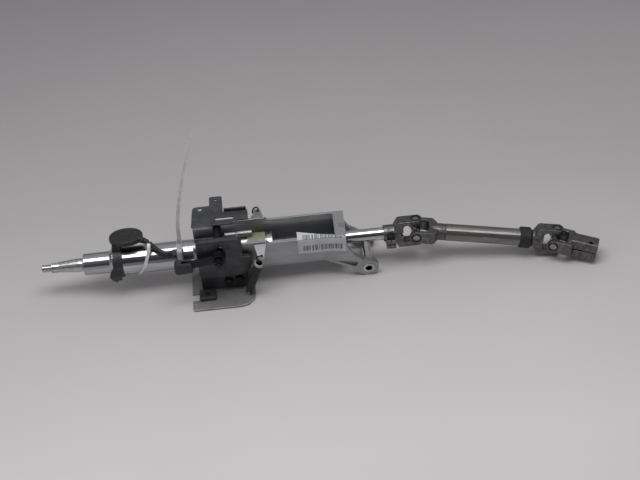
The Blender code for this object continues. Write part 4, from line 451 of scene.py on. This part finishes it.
def belt(circles, count):
    """Points (y, z) of a band drawn tight round circles of (y, z, radius), which lie across the column."""
    reach = [max(math.cos(a) * y + math.sin(a) * z + r for y, z, r in circles)
             for a in (2 * math.pi * k / count for k in range(count))]
    turn = 2 * math.pi / count
    points = []
    for step in range(count):
        first, second, a = reach[step], reach[(step + 1) % count], turn * step
        b = a + turn
        points.append(((first * math.sin(b) - second * math.sin(a)) / math.sin(turn),
                       (second * math.cos(a) - first * math.cos(b)) / math.sin(turn)))
    return points


def piece(name, shells, finish, body, replaced=(), corner_mm=0.0, smooth=35):
    """One object made of closed skins. It rides on a CAD body, if one is given, and takes a slot's finish."""
    mesh = bpy.data.meshes.new(name)
    work = bmesh.new()
    for points, faces in shells:
        corners = [work.verts.new(point) for point in points]
        for face in faces:
            work.faces.new([corners[index] for index in face])
    bmesh.ops.recalc_face_normals(work, faces=work.faces)
    work.to_mesh(mesh)
    work.free()
    mesh.materials.append(finish)
    mesh.shade_smooth()
    mesh.set_sharp_from_angle(angle=math.radians(smooth))
    thing = bpy.data.objects.new(name, mesh)
    scene.collection.objects.link(thing)
    if corner_mm:
        breaker = thing.modifiers.new("broken_corners", "BEVEL")
        breaker.width, breaker.segments, breaker.limit_method = corner_mm * MM, 2, "ANGLE"
        breaker.harden_normals = True
    if body:
        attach(thing, body)
    if replaced:
        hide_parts(*replaced)
    print("piece", name, len(mesh.polygons), "faces on", body or "two bodies")
    return thing


# %% [markdown]
# **Reader coil.** A flat coil with a shallow dish lies on the tube and leans back, away from the camera
# side. Its rim is rounded, and the dish has a small dimple in its middle.

# %% Reader coil
COIL_MIDDLE, COIL_LEAN = Vector((-144, 17, 83)) * MM, math.radians(-20)
coil_place = Matrix.Translation(COIL_MIDDLE) @ Matrix.Rotation(COIL_LEAN, 4, "X")
coil_profile = [(high * MM, radius * MM) for high, radius in (
    (-4.0, 20.0), (-4.0, 23.4), (-3.4, 24.5), (-2.4, 25.0), (1.8, 25.0), (3.0, 24.7), (3.7, 24.0),
    (4.0, 23.0), (3.9, 22.2), (3.3, 21.5), (2.8, 20.6), (2.7, 19.0), (2.9, 12.0), (3.1, 5.0),
    (3.1, 3.4), (2.6, 3.0), (2.6, 1.0))]
piece("coil_case", [turned(coil_place, coil_profile, 96)], black_nylon, "tube",
      ["reader_coil"])

# %% [markdown]
# **Clip.** The coil's moulded clip runs round the tube and ends in a pointed leaf under the near side.
# A post joins it to the underside of the coil.

# %% Clip
CLIP_START, CLIP_END, CLIP_INSIDE, CLIP_OUTSIDE = -166 * MM, -152 * MM, 21.3 * MM, 24.3 * MM
tube_axis = facing((0, 0, AXIS_HEIGHT), (1, 0, 0))
clip_ring = turned(tube_axis, (
    (CLIP_START, CLIP_INSIDE), (CLIP_START, CLIP_OUTSIDE), (CLIP_END, CLIP_OUTSIDE), (CLIP_END, CLIP_INSIDE)),
    64, looped=True)
LEAF_THICKNESS = 2.4 * MM
# Each level of the leaf is its height over the tube's axis, near face, left edge and right edge.
leaf_levels = (
    (8, -23.6, -167, -153), (-1, -24.4, -171.5, -154), (-8, -24.4, -173.5, -155), (-20, -20.2, -171.5, -157),
    (-31, -12.4, -168.8, -164.5), (-36, -9.5, -168, -166.5))
leaf = shell([
    [(x * MM, near * MM + inward, AXIS_HEIGHT + z * MM)
     for x, inward in ((left, 0), (right, 0), (right, LEAF_THICKNESS), (left, LEAF_THICKNESS))]
    for z, near, left, right in leaf_levels])
UNDER_COIL = -3.9
post_top = [coil_place @ (Vector((x, y, UNDER_COIL)) * MM)
            for x, y in ((-21, -21), (-9, -21), (-9, -7), (-21, -7))]
post_foot = [Vector(corner) * MM for corner in (
    (-165, -4, 74.6), (-153, -4, 74.6), (-153, 9, 73.6), (-165, 9, 73.6))]
piece("coil_clip", [clip_ring, leaf, shell([post_foot, post_top])], black_nylon, "tube",
      ["coil_band"], corner_mm=0.6)

# %% [markdown]
# **Coil lead.** A short round cable, 7.4 mm thick, goes from the coil to its plug. The photograph shows it
# from end to end, so that is its whole length. A ribbed sleeve guards it where it leaves the coil.

# %% Coil lead and its guard
lead_route = [Vector(point) * MM for point in (
    (-122.5, 5.8, 87.1), (-118.3, 3.2, 87.2), (-112.0, 0.7, 85.6), (-105.6, -4.6, 81.6), (-98.2, -10.4, 77.0),
    (-90.0, -13.9, 73.2), (-83.5, -14.35, 72.5), (-77.4, -14.35, 72.5))]
lead_path = curved(lead_route, 4)
LEAD_THICKNESS = 7.4 * MM
lead = piece("coil_lead", [swept(lead_path, disc(LEAD_THICKNESS / 2, 24))], seal_rubber, "tube",
             ["coil_cable"])
GUARD_RIBS, GUARD_STEPS, GUARD_LENGTH, GUARD_SETBACK = 4, 24, 10 * MM, 2.5 * MM
guard_profile = []
for step in range(GUARD_STEPS + 1):
    way = step / GUARD_STEPS
    radius = 4.7 - 0.5 * way + 0.35 * math.cos(way * GUARD_RIBS * 2 * math.pi)
    guard_profile.append((way * GUARD_LENGTH, radius * MM))
lead_ahead = lead_path[2] - lead_path[0]
guard_place = facing(lead_path[0] - lead_ahead.normalized() * GUARD_SETBACK, lead_ahead)
guard = piece("lead_guard", [turned(guard_place, guard_profile, 32)], black_nylon, "tube")

# %% [markdown]
# **Ties.** The broad tie's buckle is a small block, and the tie's cut end peeps out of it. The thin tag
# tie has a long tail of clear nylon, which is why the bench shows through it.

# %% Tie buckle and tag tie
clear_nylon = surface(
    "clear_nylon", "e4e4e4", "cfcfd0", (0.28, 0.40), patch_mm=(6, 6, 6), grain_mm=(1.2, 1.2, 1.2),
    depth_mm=0.015, ior=1.53)
clear_nylon.node_tree.nodes["Principled BSDF"].inputs["Transmission Weight"].default_value = 0.55
TIE_X, TIE_LEAN, TIE_RADIUS, BUCKLE_ANGLE = -123 * MM, 13 * MM, 24.2 * MM, math.radians(-62)
tie_out = Vector((0, math.cos(BUCKLE_ANGLE), math.sin(BUCKLE_ANGLE)))
tie_round = Vector((0, -tie_out.z, tie_out.y))
tie_middle = Vector((TIE_X + TIE_LEAN * tie_out.z, 0, AXIS_HEIGHT)) + tie_out * TIE_RADIUS
buckle_path = [tie_middle + tie_round * along * MM for along in (-4, 0, 4)]
stub_path = [tie_middle + tie_round * along * MM + tie_out * lift * MM
             for along, lift in ((3.5, 0), (6.5, 0.8), (9, 2.2))]
buckle = swept(buckle_path, slab(5 * MM, 7.4 * MM), tie_out)
cut_end = swept(stub_path, slab(1.2 * MM, 4.6 * MM), tie_out)
piece("tie_buckle", [buckle, cut_end], natural_nylon, "tube", corner_mm=0.5)

STRAP_WIDTH, TAIL_WIDTH, TAG_THICKNESS, TAIL_TAPER = 7.6 * MM, 6.8 * MM, 0.9 * MM, 0.55
ROUND_TUBE, ROUND_PLUG = (0, 0, 21.3 * MM), (-14.34 * MM, 20.48 * MM, 6.2 * MM)
TAG_START = Vector((-66.5, 0.8, 74.2)) * MM
tag_path = curved([TAG_START + Vector(point) * MM for point in (
    (0, 0, 0), (1.2, -1, 14), (3.0, 3, 42), (10.0, 14, 80), (22.0, 34, 118), (38, 66, 157))], 8)
strap_rings = []
for y, z in belt((ROUND_TUBE, ROUND_PLUG), 48):
    outward = Vector((0, y, z)).normalized()
    foot = Vector((TAG_START.x, y, z + AXIS_HEIGHT))
    strap_rings.append([
        foot + Vector((a, 0, 0)) + outward * (b + TAG_THICKNESS / 2)
        for a, b in slab(STRAP_WIDTH, TAG_THICKNESS)])
tail = swept(tag_path, slab(TAIL_WIDTH, TAG_THICKNESS), (1, 0, 0), lambda way: 1 - TAIL_TAPER * way)
piece("tag_strap", [shell(strap_rings, looped=True), tail], clear_nylon, "tube", ["tag_tie"],
      corner_mm=0.2)

# %% [markdown]
# **Tilt springs.** Each spring pulls the channel's ear down to the console, so a wheel can be tilted
# with one hand. The wire is round, hooks over the ear, and runs in a ribbed rubber sleeve with a pale cap.
# The sleeve and its cap follow the console; the wire itself is attached to no body.

# %% Tilt springs and sleeves
cap_nylon = surface(
    "cap_nylon", "b9b8b4", "9d9c98", (0.35, 0.5), patch_mm=(4, 4, 4), grain_mm=(1, 1, 1), depth_mm=0.02,
    ior=1.53)
WIRE_RADIUS, TURN_RADIUS, TURNS, STATIONS = 1.15 * MM, 4.0 * MM, 8, 16
EAR_X, EAR_FOOT, HOLE_Y = 52 * MM, 77.6 * MM, 45.8 * MM
FOOT_ROOM, HEAD_ROOM = 7.5 * MM, 12 * MM
RIBS, RIB_DEPTH, RIB_RADIUS, SLEEVE_END, SLEEVE_BORE = 16, 0.28 * MM, 6.1 * MM, 5.4 * MM, 5.2 * MM
CAP_LENGTH, CAP_SEAT = 4.6 * MM, 5 * MM
hook = (
    (45.6, 46.6, 76.0), (45.4, 47.6, 80.0), (47.6, 49.4, 83.2), (51.0, 50.0, 84.3), (53.8, 48.0, 83.6),
    (53.2, 46.2, 81.2), (52.0, 45.8, 78.6), (51.6, 45.6, 75.6))
for side_name, side in (("near", -1), ("far", 1)):
    foot, head = Vector((27.5 * MM, side * HOLE_Y, 6.2 * MM)), Vector((EAR_X, side * HOLE_Y, EAR_FOOT))
    place, length = facing(foot, head - foot), (head - foot).length
    low, high = FOOT_ROOM, length - HEAD_ROOM
    coil_line = []
    for step in range(TURNS * STATIONS + 1):
        a, rise = 2 * math.pi * step / STATIONS, (high - low) * step / (TURNS * STATIONS)
        coil_line.append(place @ Vector((TURN_RADIUS * math.cos(a), TURN_RADIUS * math.sin(a), low + rise)))
    foot_line = curved(
        [foot + Vector((4, 0, 0)) * MM, foot, foot + Vector((-2.5, 0, 1.8)) * MM, coil_line[0]], 5)
    neck = place @ Vector((0, 0, high + 3 * MM))
    head_line = curved([coil_line[-1], neck, *((x * MM, side * y * MM, z * MM) for x, y, z in hook)], 5)
    wire_line = [*foot_line[:-1], *coil_line, *head_line[1:]]
    spring = piece(f"tilt_coil_{side_name}", [swept(wire_line, disc(WIRE_RADIUS, 8), (0.3, 0.2, 1))],
                   blackened_steel, None, [f"tilt_spring_{side_name}"])
    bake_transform(spring)
    sleeve_low, sleeve_high = low - 1 * MM, high - CAP_LENGTH
    ribs = [(low + (high - low - CAP_SEAT) * step / (2 * RIBS), RIB_RADIUS + RIB_DEPTH * (-1) ** step)
            for step in range(2 * RIBS + 1)]
    sleeve = [(sleeve_low, SLEEVE_BORE), (sleeve_low, SLEEVE_END), *ribs, (sleeve_high, SLEEVE_END),
              (sleeve_high, SLEEVE_BORE)]
    cap = [(high - below * MM, radius * MM) for below, radius in (
        (4.6, 5.3), (4.6, 6.5), (4.0, 6.8), (0.6, 6.8), (0, 6.2), (0, 5.3))]
    piece(f"sleeve_{side_name}", [turned(place, sleeve, 36, looped=True)], seal_rubber, "console",
          [f"spring_sleeve_{side_name}"])
    piece(f"sleeve_cap_{side_name}", [turned(place, cap, 36, looped=True)], cap_nylon, "console")

# %% [markdown]
# **Thread and serrations.** The tip of the shaft holds the wheel: a thread for its nut, then fine teeth
# that lock the hub. Threads are drawn at 1.5 mm pitch; the teeth are 36, which is a usual count.

# %% Shaft tip
THREAD_START, THREAD_PITCH, THREAD_RADIUS = -271.6 * MM, 1.5 * MM, 5.2 * MM
THREAD_TURNS, THREAD_STATIONS = 8, 24
thread_line = []
for step in range(THREAD_TURNS * THREAD_STATIONS + 1):
    x, a = THREAD_START + THREAD_PITCH * step / THREAD_STATIONS, 2 * math.pi * step / THREAD_STATIONS
    thread_line.append(Vector((x, THREAD_RADIUS * math.cos(a), AXIS_HEIGHT + THREAD_RADIUS * math.sin(a))))


def run_out(way):
    """How full the thread's ridge is: it fades out at both ends."""
    return min(1, 30 * way + 0.3, 30 * (1 - way) + 0.3)


piece("tip_thread", [swept(thread_line, disc(0.45 * MM, 6), (1, 0, 0), run_out)], turned_steel,
      "wheel_shaft")
TEETH, TOOTH_TOP, TOOTH_FOOT = 36, 7.55 * MM, 7.05 * MM
tooth_ring = [(TOOTH_TOP if k % 4 in (0, 1) else TOOTH_FOOT, 2 * math.pi * k / (TEETH * 4))
              for k in range(TEETH * 4)]
piece("tip_serrations", [shell([
    [(x * MM, r * cut * math.cos(a), AXIS_HEIGHT + r * cut * math.sin(a)) for r, a in tooth_ring]
    for x, cut in ((-258.6, 0.94), (-258.2, 1.0), (-247.8, 1.0), (-247.4, 0.94))])],
    ground_steel, "wheel_shaft", smooth=20)

# %% [markdown]
# **Joint seals and snap rings.** Each bearing cup is held by a snap ring outside the fork and sealed by a
# rubber lip inside it. They are small, but a bare cross looks unfinished from every side.

# %% Joint seals and snap rings


def heading(yaw, drop):
    """A direction along the column that turns by yaw and falls by drop, in degrees."""
    yaw, drop = math.radians(yaw), math.radians(drop)
    return Vector((math.cos(drop) * math.cos(yaw), math.cos(drop) * math.sin(yaw), -math.sin(drop)))


JOINT_1_X, MIDDLE_LENGTH, FORK_TURN = 284 * MM, 210 * MM, math.radians(-12)
middle_line, gear_line = heading(-6, 7.9), heading(-20.7, 6)
joint_1 = Vector((JOINT_1_X, 0, AXIS_HEIGHT))
joint_2 = joint_1 + middle_line * MIDDLE_LENGTH
pin_1 = Matrix.Rotation(FORK_TURN, 3, "X") @ Vector((0, 0, 1))
pin_2 = pin_1.cross(middle_line).normalized()
pin_3 = middle_line.cross(pin_2).normalized()
pin_4 = pin_3.cross(gear_line).normalized()
seal_profile = [(high * MM, radius * MM) for high, radius in (
    (10.3, 4.75), (10.3, 6.2), (9.9, 6.6), (9.3, 6.5), (9.0, 5.9), (8.6, 5.7), (8.6, 4.75))]
ring_profile = [(high * MM, radius * MM) for high, radius in (
    (21.6, 5.2), (21.6, 6.9), (21.9, 7.1), (22.3, 6.9), (22.3, 5.2))]
for number, middle, cross_body, pins in (
        (1, joint_1, "first_cross", ((pin_1, "output_shaft"), (pin_2, "middle_shaft"))),
        (2, joint_2, "second_cross", ((pin_3, "slider"), (pin_4, "gear_end_body")))):
    arms = {body: [facing(middle, pin * sign, (1, 0.2, 0.1)) for sign in (1, -1)] for pin, body in pins}
    seals = [turned(arm, seal_profile, 28, looped=True) for pair in arms.values() for arm in pair]
    piece(f"joint_{number}_seals", seals, seal_rubber, cross_body)
    for body, pair in arms.items():
        rings = [turned(arm, ring_profile, 28, looped=True) for arm in pair]
        piece(f"joint_{number}_rings_{body}", rings, blackened_steel, body)

# %% [markdown]
# **Label.** A white paper label is stuck to the near wall, and its flap stands a little above the rim.
# Two rows of plain stripes are printed on it, and they hold no data.

# %% Label
label_paper = surface(
    "label_paper", "c9cbd0", "bcbec3", (0.45, 0.6), patch_mm=(20, 20, 20), grain_mm=(0.8, 0.8, 0.8),
    depth_mm=0.01, ior=1.5)
tree = label_paper.node_tree
shader = tree.nodes["Principled BSDF"]
paper_colour = shader.inputs["Base Color"].links[0].from_socket
flat_paper = add(tree, "TexCoord").outputs["UV"]
printed = add(tree, "VectorMath", {1: (100, 100, 1)}, {0: flat_paper}, operation="MULTIPLY")
spot = add(tree, "SeparateXYZ", links={0: printed.outputs[0]})
stripe = add(tree, "Math", {1: 0.7}, {0: spot.outputs["X"]}, operation="SNAP")
dice = add(tree, "TexWhiteNoise", links={"W": stripe.outputs[0]}, noise_dimensions="1D")
dark = add(tree, "Math", {1: 0.5}, {0: dice.outputs["Value"]}, operation="LESS_THAN")
low_row = add(tree, "Math", {1: 10.5, 2: 5.5}, {0: spot.outputs["Y"]}, operation="COMPARE")
high_row = add(tree, "Math", {1: 33.0, 2: 4.5}, {0: spot.outputs["Y"]}, operation="COMPARE")
rows = add(tree, "Math", links={0: low_row.outputs[0], 1: high_row.outputs[0]}, operation="MAXIMUM")
margin = add(tree, "Math", {1: 35.0, 2: 30.0}, {0: spot.outputs["X"]}, operation="COMPARE")
field = add(tree, "Math", links={0: rows.outputs[0], 1: margin.outputs[0]}, operation="MULTIPLY")
ink = add(tree, "Math", links={0: field.outputs[0], 1: dark.outputs[0]}, operation="MULTIPLY")
print_colour = add(tree, "Mix", {7: linear("5f6166")}, {0: ink.outputs[0], 6: paper_colour}, data_type="RGBA")
tree.links.new(print_colour.outputs[2], shader.inputs["Base Color"])

# The label's sizes are millimetres.
LABEL_START, LABEL_END, RIM_TOP = 107.0, 177.5, 84.0
STATIONS_ALONG, FLAP_STEPS, PAPER, GLUE, FOLD = 24, 6, 0.16, 0.15, 0.35
channel = nodes_of_frame["lower_channel"]


def outermost(x, heights):
    """How far the channel's near wall reaches towards -Y at x, over some heights, in millimetres."""
    found = [channel.ray_cast((x * MM, -60 * MM, z * MM), (0, 1, 0)) for z in heights]
    return min(hit[1].y / MM for hit in found if hit[0])


label_rings, label_spots = [], []
for step in range(STATIONS_ALONG + 1):
    way = step / STATIONS_ALONG
    x = LABEL_START + (LABEL_END - LABEL_START) * way
    foot_z = 54.4 - 0.6 * way
    stuck = RIM_TOP - 0.6 - foot_z
    wall_face = outermost(x, (58, 64, 70, 76, 82)) - GLUE
    flap = 12.5 * (1 - way) ** 1.2 + 1.2
    outline = [(wall_face, foot_z + stuck * k / 4, stuck * k / 4) for k in range(5)]
    outline.append((wall_face + FOLD, RIM_TOP, RIM_TOP - foot_z))
    for k in range(1, FLAP_STEPS + 1):
        along = flap * k / FLAP_STEPS
        outline.append((wall_face + FOLD + along * 0.95, RIM_TOP + 0.05 + 0.02 * along ** 2,
                        RIM_TOP - foot_z + along))
    inner = [(y + PAPER, z, v) if z < RIM_TOP else (y, z - PAPER, v) for y, z, v in reversed(outline)]
    label_rings.append([(x * MM, (y - PAPER) * MM, z * MM) for y, z, v in outline + inner])
    label_spots += [((x - LABEL_START) / 100, v / 100) for y, z, v in outline + inner]
label = piece("paper_label", [shell(label_rings)], label_paper, "channel")
marks = label.data.uv_layers.new(name="printed")
for corner in label.data.loops:
    marks.data[corner.index].uv = label_spots[corner.vertex_index]

# %% [markdown]
# **Dotted patch.** A small square of ink on the bridge plate, with plain dots in it.

# %% Dotted patch on the bridge
patch_ink = surface(
    "patch_ink", "8e9093", "3a3b3e", (0.4, 0.5), patch_mm=(1.3, 1.3, 1.3), grain_mm=(0.8, 0.8, 0.8),
    depth_mm=0.01, ior=1.5)
bridge_top = channel.ray_cast((173 * MM, -3 * MM, 0.2), (0, 0, -1))[1].z
INK_UNDERSIDE, INK_TOP = 0.02, 0.12
patch_corners = [(168.8, -8.0), (177.2, -8.8), (177.4, 0.2), (169.0, 1.0)]
ink_skin = shell([[(x * MM, y * MM, bridge_top + lift * MM) for x, y in patch_corners]
                  for lift in (INK_UNDERSIDE, INK_TOP)])
piece("dotted_patch", [ink_skin], patch_ink, "channel")

# %% [markdown]
# **Grease.** The inner end of the tube has a thin yellowish film with ragged edges on its upper side.

# %% Grease on the tube's end
grease = surface(
    "yellow_grease", "a9a78f", "93917c", (0.22, 0.42), patch_mm=(7, 5, 5), grain_mm=(2.5, 2.5, 2.5),
    depth_mm=0.15, ior=1.47)
grease.node_tree.nodes["Principled BSDF"].inputs["Alpha"].default_value = 0.6
FILM_START, FILM_END, FILM_RADIUS, FILM_THICK, FILM_THIN = 33.5, 60.3, 21.02, 0.22, 0.06
FIRST_ANGLE, ARC, ARC_STEPS, ROWS, RAGGED = 8, 176, 40, 8, 1.6
random.seed(7)
film = []
ragged = [[random.uniform(-RAGGED, RAGGED) for _ in range(ARC_STEPS + 1)] for _ in range(2)]
for row in range(ROWS + 1):
    way, outer, inner = row / ROWS, [], []
    for k in range(ARC_STEPS + 1):
        a = math.radians(FIRST_ANGLE + ARC * k / ARC_STEPS)
        x = (FILM_START + ragged[0][k]) * (1 - way) + (FILM_END + 0.3 * ragged[1][k]) * way
        thick = FILM_THICK if 0 < row < ROWS and 0 < k < ARC_STEPS else FILM_THIN
        for points, radius in ((outer, FILM_RADIUS + thick), (inner, FILM_RADIUS)):
            points.append((x * MM, -radius * MM * math.cos(a), AXIS_HEIGHT + radius * MM * math.sin(a)))
    film.append(outer + inner[::-1])
piece("tube_grease", [shell(film)], grease, "tube")
